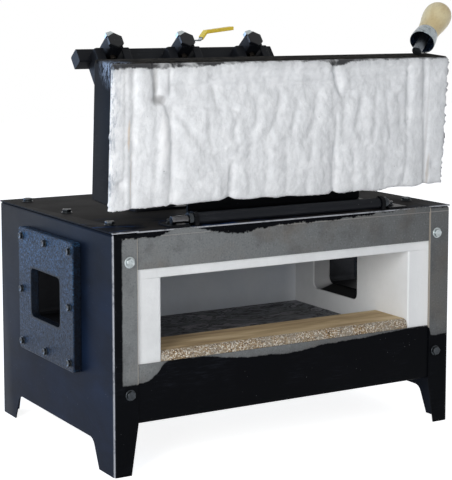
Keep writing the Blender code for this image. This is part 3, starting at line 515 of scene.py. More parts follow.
def hammered_paint(looks):
    """Thick blue-black paint with a close hammered texture."""
    f = Finish("hammered blue-black paint")
    x, y, z = f.split(f.place)
    cells = f.cloudy(f.place, 300, 3, 0.7, 1.2)
    tone = f.colours(cells, ((0.42, (0.002, 0.004, 0.009)), (0.5, tuple(looks.hammer_colour)),
                             (0.57, shade(looks.hammer_colour, 6))))
    tone = f.mix(f.graded(f.cloudy(f.place, 14, 3), 0.35, 0.7, 0.0, 0.5), tone, (0.008, 0.012, 0.022))
    # Painted shade: the plates darken towards their lower edge.
    tone = f.mix(f.graded(z, PLATE_HIGH[2], PLATE_LOW[2], 0.0, 0.7), tone, (0.003, 0.005, 0.012))
    # Painted shade on the plate's edge faces towards the front.
    brink = f.below(y, PLATE_LOW[1] + 0.4 * MM)
    tone = f.mix(f.times(brink, 0.85), tone, (0.002, 0.003, 0.006))
    # The walls of the opening are darker.
    inside = 0.85
    for value, low, high in ((y, SLEEVE_LOW[1], SLEEVE_HIGH[1]), (z, SLEEVE_LOW[2], SLEEVE_HIGH[2])):
        inside = f.times(f.below(f.gap(value, (low + high) / 2), (high - low) / 2 + 1.2 * MM), inside)
    tone = f.mix(inside, tone, (0.006, 0.008, 0.012))
    return f.wire(Base_Color=tone, Roughness=f.graded(cells, 0.3, 0.7, 0.5, 0.25),
                  Normal=f.bump(cells, 0.8, 1.6 * MM), Specular_IOR_Level=0.08)


def bare_metal(name, colour, roughness, grime=0.4, scale=60, inside=None):
    """Plain metal with turning marks, dull patches and grime, and painted shade where the inside's mask says.
    """
    f = Finish(name)
    fine = f.cloudy(f.place, scale * 9, 3, 0.6)
    patches = f.cloudy(f.place, scale, 4, 0.6)
    base = f.mix(fine, shade(colour, 0.8), shade(colour, 1.15))
    base = f.mix(f.graded(patches, 0.5, 0.75, 0.0, grime), base, shade(colour, 0.22))
    if inside:
        # Painted shade inside, where the mask says.
        base = f.mix(inside(f), base, (0.065, 0.085, 0.12))
    rough = f.plus(roughness - 0.08, f.times(patches, 0.22))
    return f.wire(Base_Color=base, Roughness=rough, Normal=f.bump(fine, 0.15, 0.2 * MM), Metallic=1.0)


def ferrule_inner_shade(f):
    """A mask of the cup's inner faces, by their distance from its axis, where painted shade darkens them."""
    meshes = [NODES[name].data.vertices for name in ("handle_ferrule", "handle_grip")]
    middle, beyond = (sum((vert.co for vert in mesh), Vector()) / len(mesh) for mesh in meshes)
    axis = (beyond - middle).normalized()
    mouth = middle + axis * (min(axis.dot(vert.co) for vert in meshes[0]) - axis.dot(middle))
    away = f.vector("SUBTRACT", f.place, mouth)
    along = f.vector("DOT_PRODUCT", away, axis, output="Value")
    radius = f.vector("LENGTH", f.vector("CROSS_PRODUCT", away, axis), output="Value")
    # The line between the inner and outer faces, which narrows from the mouth to the back.
    wall = f.graded(along, 8 * MM, 24.5 * MM, 19.8 * MM, 17.8 * MM)
    return f.times(f.below(radius, wall), f.below(along, 23.8 * MM), f.above(along, 0.6 * MM))


def fibre_finish(name, colour, soot, soot_colour):
    """Hardened white fibre with a felted surface, soot and painted shade towards the back, painted light on
    the right wall and painted shade in the bar passages.
    """
    f = Finish(name)
    x, y, z = f.split(f.place)
    felt = f.cloudy(f.stretched(f.place, (1, 1, 0.5)), 140, 5, 0.65)
    mottle = f.cloudy(f.place, 18, 4, 0.6)
    base = f.mix(f.graded(mottle, 0.35, 0.75), colour, shade(colour, 0.88))
    base = f.mix(f.graded(felt, 0.55, 0.8, 0.0, 0.25), base, shade(colour, 0.7))
    # Soot and painted shade: darker towards the back and low near the front.
    deep = f.graded(y, FRONT_FACE + 130 * MM, REAR_FACE - 90 * MM)
    low = f.times(f.graded(z, 200 * MM, 155 * MM), f.graded(y, FRONT_FACE + 50 * MM, FRONT_FACE + 150 * MM))
    smoke = f.times(f.plus(deep, f.times(low, 0.7), clamp=True),
                    f.graded(f.cloudy(f.place, 12, 4, 0.6), 0.3, 0.7, 0.6, 1.0))
    # Painted light: the right wall is lightened and takes less of the darkening.
    clean = f.graded(x, CASE_X + 200 * MM, CASE_X + 250 * MM)
    base = f.mix(f.times(clean, 0.8), base, (0.97, 0.975, 0.97))
    share = f.times(f.minus(1.0, f.times(clean, 0.6)), soot)
    base = f.mix(f.times(smoke, share), base, soot_colour)
    # Painted shade makes the passages of the ports black inside, apart from their far cheeks, which it only
    # greys.
    inside = f.graded(f.gap(x, CASE_X), MOUTH_HALF + 1 * MM, MOUTH_HALF + 3 * MM)
    within = f.times(inside, f.below(f.gap(y, CASE_Y), 75 * MM))
    cheek = f.graded(y, CASE_Y + 50 * MM, CASE_Y + 45 * MM)
    base = f.mix(f.times(within, 0.62), base, (0.12, 0.12, 0.13))
    base = f.mix(f.times(within, cheek), base, (0.012, 0.012, 0.013))
    height = f.plus(felt, f.times(mottle, 1.5))
    return f.wire(Base_Color=base, Normal=f.bump(height, 0.5, 1.2 * MM), Roughness=0.95,
                  Specular_IOR_Level=0.15)


# Height of the blanket's clean top edge, which soot covers, against the way across the door.
CLEAN_EDGE = ((0.0, 0.32), (0.03, 0.5), (0.09, 0.52), (0.115, 0.3), (0.16, 0.42), (0.25, 0.5), (0.31, 0.66),
              (0.38, 0.86), (0.55, 0.84), (0.61, 0.7), (0.635, 0.3), (0.67, 0.6), (0.78, 0.8), (0.93, 0.85),
              (1.0, 0.5))
BRINK_BASE, BRINK_REACH = 216.5 * MM, 14.5 * MM
# Marks on the blanket: place across and up, width and height, in millimetres, then strength and colour. The
# first is a painted highlight on the swelling at the left and the next two are painted shade in the creases
# beside it; the others are stains and a rust streak.
BLANKET_MARKS = (
    (-216, 116, 12, 50, 1.0, (1, 1, 1)),
    (-232, 200, 6, 35, 0.5, (0.14, 0.13, 0.12)),
    (-226, 177, 14, 9, 0.5, (0.14, 0.13, 0.12)),
    (-273, 127, 3, 26, 0.35, (0.75, 0.42, 0.1)),
    (-268, 60, 2, 50, 0.18, (0.75, 0.5, 0.25)),
    (272, 45, 3, 35, 0.4, (0.3, 0.2, 0.1)),
    (266, 120, 2.5, 110, 0.22, (0.3, 0.27, 0.25)),
)


def blanket_finish(looks):
    """Soft white blanket with scorched stains, a rust streak, soot at its upper edge, darker outer edges, a
    painted highlight and painted shade in creases.
    """
    f = Finish("soft fibre blanket")
    local = f.add("Mapping", {"Vector": f.place, "Location": tuple(-HINGE)}).outputs[0]
    x, y, z = f.split(local)
    wisps = f.cloudy(f.stretched(local, (1.0, 1.0, 0.7)), 75, 6, 0.68, 0.5)
    felt = f.cloudy(local, 420, 4, 0.7)
    tone = f.mix(f.graded(wisps, 0.35, 0.7), looks.blanket_colour, shade(looks.blanket_colour, 0.84))
    along = f.maths("DIVIDE", f.plus(x, BLANKET_HALF * MM), 2 * BLANKET_HALF * MM)
    edge = f.plus(BRINK_BASE, f.times(f.curve(along, CLEAN_EDGE), BRINK_REACH))
    over = f.minus(z, edge)
    soot = f.ragged(local, over, 2.5 * MM, 16 * MM)
    smoke = f.ragged(local, f.plus(over, 6 * MM), 12 * MM, 30 * MM)
    tone = f.mix(f.times(smoke, 0.28), tone, (0.2, 0.2, 0.21))
    tone = f.mix(f.times(soot, 0.95), tone, (0.018, 0.018, 0.02))
    left = f.graded(x, -285 * MM, -305 * MM)
    streaks = f.graded(f.cloudy(f.stretched(local, (3.0, 1.0, 0.8)), 70, 5, 0.75, 0.5), 0.46, 0.6)
    tone = f.mix(f.times(left, streaks, 0.9), tone, (0.2, 0.24, 0.3))
    uneven = f.minus(wisps, 0.5)
    right = f.graded(f.plus(x, f.times(uneven, 12 * MM)), 300.5 * MM, 303.5 * MM)
    tone = f.mix(f.times(right, 0.85), tone, (0.1, 0.1, 0.1))
    # Thicker tufts look whiter.
    tufts = f.cloudy(local, 38, 3, 0.6, 0.4)
    tone = f.mix(f.graded(tufts, 0.5, 0.68, 0.0, 0.6), tone, (0.97, 0.975, 0.98))
    # Among these marks, the first is a painted highlight and the next two are painted crease shade.
    for at_x, at_z, wide, tall, strength, colour in BLANKET_MARKS:
        dx = f.maths("DIVIDE", f.minus(x, at_x * MM), wide * MM)
        dz = f.maths("DIVIDE", f.minus(z, at_z * MM), tall * MM)
        far = f.plus(f.plus(f.times(dx, dx), f.times(dz, dz)), f.times(uneven, 1.6))
        tone = f.mix(f.times(f.graded(far, 1.0, 0.0), strength), tone, colour)
    grit = f.times(f.graded(f.cells(local, 46.0)["Distance"], 0.045, 0.02),
                   f.graded(f.cloudy(local, 17), 0.5, 0.6))
    tone = f.mix(grit, tone, (0.1, 0.09, 0.08))
    height = f.plus(wisps, f.times(felt, 0.35))
    return f.wire(Base_Color=tone, Normal=f.bump(height, 0.5, 2 * MM), Roughness=1.0, Specular_IOR_Level=0.1,
                  Sheen_Weight=0.25)


def sill_finish(looks):
    """Tan castable: a smooth streaked top and a broken front that shows its grains."""
    f = Finish("tan castable sill")
    y = f.split(f.place)["Y"]
    streak = f.cloudy(f.stretched(f.place, (5, 40, 40)), 1.6, 4, 0.55, 0.3)
    top = f.colours(streak, ((0.3, (0.38, 0.27, 0.15)), (0.5, tuple(looks.sill_colour)),
                             (0.72, (0.74, 0.6, 0.38))))
    scorch = f.graded(y, FRONT_FACE + 55 * MM, FRONT_FACE + 100 * MM, 0.0, 0.35)
    top = f.mix(scorch, top, (0.25, 0.17, 0.1))
    grains = f.cells(f.place, 600.0)
    grain_tone = f.colours(f.add("SeparateColor", {0: grains["Color"]}).outputs[0],
                           ((0.0, (0.1, 0.07, 0.045)), (0.25, (0.32, 0.21, 0.11)), (0.6, (0.46, 0.34, 0.2)),
                            (0.92, (0.95, 0.9, 0.8))))
    patch = f.graded(f.cloudy(f.place, 30, 4, 0.6), 0.4, 0.65, 0.0, 0.6)
    grain_tone = f.mix(patch, grain_tone, (0.4, 0.38, 0.34))
    front = f.ragged(f.place, f.minus(FRONT_FACE + 13.5 * MM, y), 4 * MM, 10 * MM)
    rough = f.blend(front, f.cloudy(f.place, 500, 3), grains["Distance"])
    return f.wire(Base_Color=f.mix(front, top, grain_tone), Roughness=0.9, Specular_IOR_Level=0.2,
                  Normal=f.bump(rough, f.blend(front, 0.15, 0.9), 1.6 * MM))


def hearth_finish(looks):
    """Sooty hearth with swirled grey wash marks."""
    f = Finish("sooty hearth plate")
    flow = f.cloudy(f.stretched(f.place, (9, 19, 9)), 1.0, 5, 0.6, 2.2)
    tone = f.colours(flow, ((0.32, (0.03, 0.03, 0.033)), (0.44, tuple(looks.soot_colour)),
                            (0.5, (0.035, 0.035, 0.04)), (0.58, (0.3, 0.3, 0.32)),
                            (0.68, (0.06, 0.06, 0.065))))
    return f.wire(Base_Color=tone, Roughness=f.graded(flow, 0.3, 0.7, 0.65, 0.95),
                  Normal=f.bump(flow, 0.4, 2 * MM), Specular_IOR_Level=0.3)


def turned_wood(looks):
    """Pale lacquered wood whose grain runs along the grip."""
    f = Finish("turned pale wood")
    centre = [-(a + b) / 2 for a, b in zip(*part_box("handle_grip"))]
    turn = f.add("Mapping", {"Vector": f.place, "Location": centre}).outputs[0]
    turn = f.add("Mapping", {"Vector": turn, "Rotation": (0, radians(27.5), radians(-34))}).outputs[0]
    rings = f.add("TexWave", {"Vector": f.stretched(turn, (0.12, 1, 1)), "Scale": 38.0, "Distortion": 5.0,
                              "Detail": 3.0, "Detail Scale": 1.5}).outputs["Fac"]
    pores = f.cloudy(f.stretched(turn, (30, 700, 700)), 1.0, 3, 0.6)
    late = [channel * factor for channel, factor in zip(looks.wood_colour, (0.86, 0.8, 0.7))]
    base = f.mix(rings, looks.wood_colour, late)
    base = f.mix(f.graded(pores, 0.55, 0.75, 0.0, 0.35), base, (0.33, 0.2, 0.1))
    return f.wire(Base_Color=base, Roughness=f.graded(pores, 0.3, 0.7, 0.38, 0.55),
                  Normal=f.bump(pores, 0.1, 0.2 * MM), Coat_Weight=0.15)


def dipped_vinyl(looks):
    """Yellow dipped sleeve, darker where it has been handled."""
    f = Finish("yellow dipped sleeve")
    dirt = f.cloudy(f.place, 120, 4, 0.6)
    base = f.mix(f.graded(dirt, 0.5, 0.75, 0.0, 0.25), looks.sleeve_colour, (0.32, 0.22, 0.03))
    return f.wire(Base_Color=base, Roughness=f.graded(dirt, 0.3, 0.7, 0.35, 0.5),
                  Normal=f.bump(dirt, 0.1, 0.3 * MM))


FINISHES = {}


def finishes():
    """Every finish, made once."""
    if FINISHES:
        return FINISHES
    looks = bpy.context.scene.forge_looks
    black = looks.paint_colour
    shell_low, shell_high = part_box("door_shell")
    corner = (shell_low[0], shell_low[1] + 4 * MM, shell_high[2] - 4 * MM)
    FINISHES.update({
        "case": case_finish(looks),
        "paint": satin_paint("satin black paint", black),
        "gas_paint": satin_paint("gas train black paint", shade(black, 2.4), 0.46, 0.8, 0.09),
        "door_paint": satin_paint("door paint", shade(black, 1.1), 0.4, 0.5, 0.014, corner),
        "cap_paint": satin_paint("burner cap paint", shade(black, 1.6), 0.36, 0.8, 0.26),
        "seat": satin_paint("white seat plastic", (0.8, 0.8, 0.78), 0.5, 0.1),
        "hammered": hammered_paint(looks),
        "steel": bare_metal("bare steel", (0.3, 0.3, 0.31), 0.42),
        "rod_steel": bare_metal("oiled rod steel", (0.1, 0.1, 0.105), 0.2, 0.8, 70),
        "sleeve_steel": bare_metal("sooted sleeve steel", (0.02, 0.021, 0.024), 0.5),
        "handle_steel": bare_metal("scaled handle rod", (0.15, 0.165, 0.185), 0.34, 0.9, 300),
        "zinc": bare_metal("zinc plate", (0.4, 0.44, 0.45), 0.28, 0.7, 150),
        "ferrule": bare_metal("galvanised ferrule", (0.31, 0.35, 0.37), 0.25, 0.9, 160, ferrule_inner_shade),
        "brass": bare_metal("turned brass", (0.62, 0.45, 0.18), 0.3, 0.4, 80),
        "jet_brass": bare_metal("sooted jet brass", (0.03, 0.026, 0.022), 0.45, 0.6, 80),
        "bolt": bare_metal("oily bolt steel", (0.042, 0.047, 0.052), 0.26, 0.6, 200),
        "lining": fibre_finish("hardened fibre lining", looks.lining_colour, 0.6, (0.36, 0.37, 0.39)),
        # Painted shade: the floor and rear linings take a darker copy of the lining.
        "back": fibre_finish("rear lining with painted shade", shade(looks.lining_colour, 0.68), 0.5, (0.4, 0.46, 0.56)),
        "blanket": blanket_finish(looks),
        "sill": sill_finish(looks),
        "hearth": hearth_finish(looks),
        "wood": turned_wood(looks),
        "vinyl": dipped_vinyl(looks),
    })
    return FINISHES


# Pieces

def hex_bolt(radius, height, flange, dish):
    """A hex head with a chamfered crown, a flange and a shallow dish, pointing up."""
    deselect_all()
    bpy.ops.mesh.primitive_cylinder_add(vertices=6, radius=radius, depth=height, location=(0, 0, height / 2))
    head = bpy.context.object
    bpy.ops.object.transform_apply(location=True)
    bpy.ops.object.mode_set(mode="EDIT")
    bpy.ops.mesh.select_all(action="DESELECT")
    bpy.ops.object.mode_set(mode="OBJECT")
    for face in head.data.polygons:
        face.select = face.normal.z > 0.9
    bpy.ops.object.mode_set(mode="EDIT")
    bpy.ops.mesh.select_mode(type="FACE")
    bpy.ops.mesh.inset(thickness=radius * 0.16)
    bpy.ops.transform.translate(value=(0, 0, radius * 0.09))
    bpy.ops.mesh.inset(thickness=radius * 0.2)
    bpy.ops.transform.translate(value=(0, 0, -dish))
    bpy.ops.object.mode_set(mode="OBJECT")
    deselect_all()
    bpy.ops.mesh.primitive_cylinder_add(vertices=24, radius=flange, depth=height * 0.28,
                                        location=(0, 0, height * 0.14))
    skirt = bpy.context.object
    bpy.ops.object.transform_apply(location=True)
    bevel_edges(skirt, height * 0.1, 2, 50)
    bolt = join([head, skirt])
    bevel_edges(bolt, radius * 0.05, 2, 40)
    smooth(bolt, 35)
    return bolt


def add_bolts(name, places, radius, height, flange, dish, finish="bolt"):
    """Bolts at places and directions, each turned its own way. The sizes are in millimetres."""
    master = hex_bolt(radius * MM, height * MM, flange * MM, dish * MM)
    bolts = copies(master, [facing(point, aim, (i * 37) % 60) for i, (point, aim) in enumerate(places)])
    finish_piece(bolts, name, finish, "frame_body")


def case_bolts():
    """The bolts of the front, the roof, the hinge brackets and the rear."""
    columns = (LEFT_FACE + 26.5 * MM, RIGHT_FACE - 26.5 * MM)
    upper, lower = ([((x, FRONT_FACE, z), (0, -1, 0)) for x in columns] for z in (315.5 * MM, 120.5 * MM))
    add_bolts("upper_front_bolts", upper, 7.0, 5.0, 8.6, 0.7, "zinc")
    add_bolts("lower_front_bolts", lower, 7.2, 5.0, 8.2, 0.6)
    roof = [((x, CASE_Y + y * MM, ROOF_TOP), (0, 0, 1)) for x in (LEFT_FACE + 32 * MM, RIGHT_FACE - 32 * MM)
            for y in (-137, 15, 170)]
    feet = (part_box("left_hinge_bracket")[0][0] + 17 * MM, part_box("right_hinge_bracket")[1][0] - 17 * MM)
    roof += [((x, HINGE.y + 17 * MM, ROOF_TOP + 3.3 * MM), (0, 0, 1)) for x in feet]
    add_bolts("roof_bolts", roof, 7.6, 5.6, 8.6, 0.6)
    rear = [((x, REAR_FACE, z), (0, 1, 0)) for x in columns for z in (110 * MM, 300 * MM)]
    add_bolts("rear_bolts", rear, 7.2, 5.0, 8.2, 0.6)


def port_bolts():
    """Eight bolts round each port's plate."""
    for label, high_side, aim in (("left", 0, -1), ("right", 1, 1)):
        low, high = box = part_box(label + "_port_plate")
        inset = 14 * MM
        ys, zs = ((low[i] + inset, (low[i] + high[i]) / 2, high[i] - inset) for i in (1, 2))
        places = [((box[high_side][0], y, z), (aim, 0, 0)) for i, y in enumerate(ys) for j, z in enumerate(zs)
                  if (i, j) != (1, 1)]
        add_bolts(label + "_port_bolts", places, 5.8, 4.2, 6.4, 0.8)


# Lines on the door along which the blanket is pressed in, as places across and up, in millimetres, then how
# deep and how wide. The deep ones are held down while the rest of the blanket swells.
CREASES = (
    (((-236, 230), (-232, 203), (-229, 178)), 8.0, 4.0),
    (((-233, 179), (-218, 175)), 7.0, 4.0),
    (((-218, 177), (-206, 153), (-201, 103), (-200, 16)), 4.4, 4.6),
    (((-267, 230), (-265, 12)), 4.0, 3.2),
    (((-98, 75), (-101, 14)), 4.6, 4.0),
    (((87, 90), (89, 12)), 4.4, 4.0),
    (((78, 230), (85, 198), (93, 179)), 8.0, 4.5),
    (((93, 179), (114, 177)), 5.0, 4.0),
    (((-205, 194), (-142, 195), (-136, 193), (79, 196)), 4.5, 3.4),
    (((-139, 209), (76, 212)), 4.2, 3.2),
    (((108, 211), (221, 213)), 4.2, 3.2),
    (((109, 198), (222, 199)), 4.2, 3.2),
    (((223, 217), (227, 130)), 5.0, 4.0),
    (((255, 230), (269, 16)), 5.0, 3.6),
    (((-285, 56), (-284, 56)), 6.0, 6.0),
    (((281, 56), (282, 56)), 4.0, 6.0),
    (((-209, 220), (-207, 184)), 3.0, 4.0),
    (((-229, 176), (-228, 89), (-228, 18)), 2.0, 6.0),
    (((-281, 221), (-278, 22)), 1.5, 3.0),
    (((86, 140), (87, 90)), 2.6, 4.0),
    (((227, 130), (225, 32)), 2.6, 5.0),
    (((-214, 175), (-175, 169), (-103, 161)), 3.4, 5.0),
    (((-204, 166), (-147, 100)), 3.4, 7.0),
    (((-135, 195), (-131, 171), (-96, 158)), 3.2, 5.0),
    (((-58, 174), (-61, 134), (-70, 122)), 3.8, 7.0),
    (((-17, 175), (-26, 140), (-38, 121)), 3.8, 7.0),
    (((50, 176), (45, 137), (35, 116)), 3.8, 7.0),
    (((14, 169), (5, 129)), 2.6, 6.0),
    (((-89, 154), (-101, 113)), 3.2, 7.0),
    (((-143, 145), (-133, 99)), 2.8, 6.0),
    (((103, 174), (101, 119)), 2.6, 6.0),
    (((134, 165), (125, 126)), 3.0, 6.0),
    (((161, 172), (157, 101)), 3.2, 6.0),
    (((178, 177), (192, 107)), 2.6, 5.0),
    (((204, 171), (217, 98)), 2.8, 6.0),
    (((-176, 92), (-172, 30)), 1.6, 7.0),
    (((-128, 88), (-131, 26)), 1.6, 6.0),
    (((-68, 100), (-66, 24)), 1.8, 6.0),
    (((-35, 86), (-38, 26)), 1.6, 5.0),
    (((-2, 92), (0, 24)), 1.8, 6.0),
    (((40, 96), (38, 24)), 1.6, 6.0),
    (((122, 96), (126, 24)), 1.8, 6.0),
    (((150, 90), (152, 24)), 1.6, 6.0),
    (((188, 96), (184, 24)), 1.8, 6.0),
    (((-250, 150), (-247, 30)), 1.5, 6.0),
)
HELD_DEPTH = 4.0
# The blanket's bottom edge on the door, as places across and up, in millimetres.
BOTTOM_EDGE = ((-305, 15), (-290, 14), (-262, 17), (-236, 16), (-205, 17), (-200, 20), (-190, 17),
               (-152, 19), (-118, 20), (-101, 26), (-92, 20), (-65, 18), (-40, 20), (-20, 17), (4, 19),
               (26, 17), (60, 16), (82, 17), (89, 22), (97, 16), (140, 18), (177, 15), (200, 20), (218, 20),
               (245, 18), (258, 20), (268, 24), (276, 21), (305, 23))
# The blanket on the door, in millimetres: half its width, half the width and the heights of the space inside
# the shell, the shell's rim, the depth behind it, how far the blanket stands proud of it and how far its
# edges roll over.
BLANKET_HALF = 305
SHELL_HALF, SHELL_LOW, SHELL_HIGH = 300.9, 25.6, 230.6
FACE, DEPTH, PROUD, ROLL = 12.0, 54.0, 4.0, 7.0
SWELLING_FRAMES = 20


def pressed(x, z, held):
    """How deep the creases go at places on the door, those held down or the soft ones, in millimetres."""
    depth = np.zeros(len(x))
    for points, deep, width in CREASES:
        if (deep >= HELD_DEPTH) != held:
            continue
        for (x0, z0), (x1, z1) in zip(points, points[1:]):
            dx, dz = x1 - x0, z1 - z0
            way = np.clip(((x - x0) * dx + (z - z0) * dz) / (dx ** 2 + dz ** 2), 0, 1)
            away = np.hypot(x - x0 - way * dx, z - z0 - way * dz)
            depth = np.maximum(depth, deep * np.exp(-(away / width) ** 2))
    return depth


def lumps(x, z, across, up, seed):
    return np.array([noise.noise(Vector((a / across, seed, b / up))) for a, b in zip(x, z)])


def read_places(mesh):
    spots = np.empty(len(mesh.vertices) * 3)
    mesh.vertices.foreach_get("co", spots)
    return spots.reshape(-1, 3)


def write_places(mesh, spots):
    mesh.vertices.foreach_set("co", spots.reshape(-1))
    mesh.update()


def blanket_block():
    """The blanket's block with rolled edges and held creases, and a mask of the vertices that stay put."""
    deselect_all()
    bpy.ops.mesh.primitive_grid_add(x_subdivisions=144, y_subdivisions=50, size=1)
    blanket = bpy.context.object
    bpy.ops.object.mode_set(mode="EDIT")
    bpy.ops.mesh.select_all(action="SELECT")
    for layer in range(2):
        bpy.ops.mesh.extrude_region_move(TRANSFORM_OT_translate={"value": (0, 0, -0.5)})
    turn_outwards()
    spots = read_places(blanket.data)
    u, v, layer = spots[:, 0] * 2, spots[:, 1] * 2, spots[:, 2]
    front = layer > -0.1
    half = SHELL_HALF + 3.0
    x = np.where(front, u * half, u * (SHELL_HALF - 1.0))
    bottom = np.where(front, np.interp(x, *zip(*BOTTOM_EDGE)), SHELL_LOW + 1.0)
    top = np.where(front, SHELL_HIGH - 1.2, SHELL_HIGH - 1.0)
    z = bottom + (v + 1) / 2 * (top - bottom)
    edge = np.minimum(np.minimum(half - np.abs(x), z - bottom), top - z)
    rounded = np.clip(1 - edge / ROLL, 0, 1)
    bend = 1 - np.sqrt(1 - rounded ** 2)
    held = pressed(x, z, True)
    behind = np.where(layer > -0.6, FACE - 0.7, FACE + DEPTH)
    y = np.where(front, FACE - PROUD + bend * (PROUD - 1.0) + held, behind)
    write_places(blanket.data, np.stack([x, y, z], 1) * MM)
    return blanket, ~front | (rounded > 0) | (held > 0.55 * HELD_DEPTH)


def turn_outwards():
    bpy.ops.object.mode_set(mode="EDIT")
    bpy.ops.mesh.select_all(action="SELECT")
    bpy.ops.mesh.normals_make_consistent(inside=False)
    bpy.ops.object.mode_set(mode="OBJECT")


def swell(context, blanket, fixed, most):
    """Let the blanket swell as cloth under pressure between its fixed vertices, by no more than a reach."""
    group = blanket.vertex_groups.new(name="held")
    group.add([int(i) for i in np.nonzero(fixed)[0]], 1.0, "REPLACE")
    cloth = blanket.modifiers.new("swelling", "CLOTH")
    for key, value in {"vertex_group_mass": "held", "quality": 5, "mass": 0.2, "tension_stiffness": 12,
                       "compression_stiffness": 12, "bending_stiffness": 0.4, "air_damping": 3,
                       "use_pressure": True, "uniform_pressure_force": 4}.items():
        setattr(cloth.settings, key, value)
    cloth.settings.effector_weights.gravity = 0
    cloth.collision_settings.use_collision = False
    cloth.point_cache.frame_start = 1
    cloth.point_cache.frame_end = SWELLING_FRAMES
    rest = read_places(blanket.data)
    for number in range(1, SWELLING_FRAMES + 1):
        context.scene.frame_set(number)
    apply_modifiers(blanket)
    context.scene.frame_set(1)
    moved = read_places(blanket.data) - rest
    reach = np.linalg.norm(moved, axis=1)
    kept = most * np.tanh(reach / most)
    write_places(blanket.data, rest + moved * (kept / np.maximum(reach, 1e-9))[:, None])


def roughen(mesh):
    """Soft creases, flutes and lumps on the blanket's face, and a frayed rim."""
    spots = read_places(mesh) / MM
    x, y, z = spots.T
    free = y < FACE - 0.9
    inset = BLANKET_HALF - np.abs(x)
    rim = np.clip(1 - np.minimum(np.minimum(inset, z - 14), 231 - z) / 12, 0, 1)
    middle = np.clip((x + 195) / 20, 0, 1) * np.clip((225 - x) / 15, 0, 1)
    flutes = np.clip((190 - z) / 20, 0, 1) * middle
    slant = x + (z - 120) * 0.22
    relief = 0.9 * lumps(slant, z, 14, 60, 0.4) * flutes + 2.0 * lumps(x, z, 36, 50, 5.2)
    relief += 1.1 * lumps(x, z, 12, 16, 1.7) * (0.5 + 0.5 * middle) + 0.6 * lumps(x, z, 4.5, 6.0, 8.7)
    relief += 2.6 * np.exp(-((x + 216) / 10) ** 2 - ((z - 116) / 40) ** 2)
    relief -= 0.6 * pressed(x, z, False)
    y = y - relief * free * (1 - 0.5 * rim)
    fray = lumps(x, z, 6, 6, 2.2) * 2.4 + lumps(x, z, 2.6, 2.6, 6.1) * 1.6
    out = free * rim ** 2 * fray * np.where(x > 290, 3.0, 1.5)
    x = x + np.sign(x) * out * (inset < 12)
    z = z - out * (z < 40)
    write_places(mesh, np.stack([x, y, z], 1) * MM)


def soft_blanket(context):
    """The door's blanket: a soft block swollen between its pressed lines, hanging over the shell's edge."""
    blanket, fixed = blanket_block()
    swell(context, blanket, fixed, context.scene.forge_looks.blanket_swell)
    subdivision = blanket.modifiers.new("finer", "SUBSURF")
    subdivision.levels = subdivision.render_levels = 1
    apply_modifiers(blanket)
    roughen(blanket.data)
    blanket.data.transform(DOOR_PLACE)
    turn_outwards()
    bpy.ops.object.shade_smooth()
    finish_piece(blanket, "soft_blanket", "blanket", "door")
    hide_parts("door_blanket")
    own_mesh(blanket)


# Operators

class FORGE_OT_case(bpy.types.Operator):
    """Finish the sheet steel case and the door's shell"""
    bl_idname = "forge.case"
    bl_label = "Case and door shell"

    def execute(self, context):
        sheets = "left_side_panel right_side_panel front_panel roof_cover"
        work_copies(((sheets, 0, "frame_body", "case", "black_paint"),
                     ("door_shell", 0, "door", "door_paint", "black_paint")))
        coat("rear_panel floor_pan hinge_leaf", "paint")
        return {"FINISHED"}


class FORGE_OT_lining(bpy.types.Operator):
    """Finish the fibre lining, the hearth and the sill"""
    bl_idname = "forge.lining"
    bl_label = "Lining, hearth and sill"

    def execute(self, context):
        edge = 2.2
        front = WALL_LOW[1] + 1 * MM

        def at_mouth(spot):
            return spot.y < front and abs(spot.x - CASE_X) < MOUTH_HALF + 1 * MM

        def under_ceiling(spot):
            return (spot.y < front and spot.z < CEILING + 1 * MM
                    and abs(spot.x - CASE_X) < MOUTH_HALF + 0.1 * MM)

        for name in ("left_wall_lining", "right_wall_lining"):
            wall = worked_copy(name, edge, "frame_body", "lining", "ceramic_fibre", where=at_mouth)
            # The walls reach the ceiling, so that no line shows between them.
            for vert in wall.data.vertices:
                if vert.co.z > WALL_HIGH[2] - 0.1 * MM:
                    vert.co.z = CEILING + 0.05 * MM
        worked_copy("ceiling_lining", edge, "frame_body", "lining", "ceramic_fibre", where=under_ceiling,
                    slices=(CASE_X - MOUTH_HALF, CASE_X + MOUTH_HALF))
        coat("floor_lining rear_lining", "back")
        coat("hearth_plate", "hearth")
        worked_copy("front_sill", 1.0, "frame_body", "sill", "tan_refractory")
        return {"FINISHED"}


class FORGE_OT_ports(bpy.types.Operator):
    """Finish the bar ports"""
    bl_idname = "forge.ports"
    bl_label = "Bar ports"

    def execute(self, context):
        work_copies((("left_port_plate right_port_plate", 0.8, "frame_body", "hammered", "hammered_paint"),))
        coat("left_port_sleeve right_port_sleeve", "sleeve_steel")
        return {"FINISHED"}


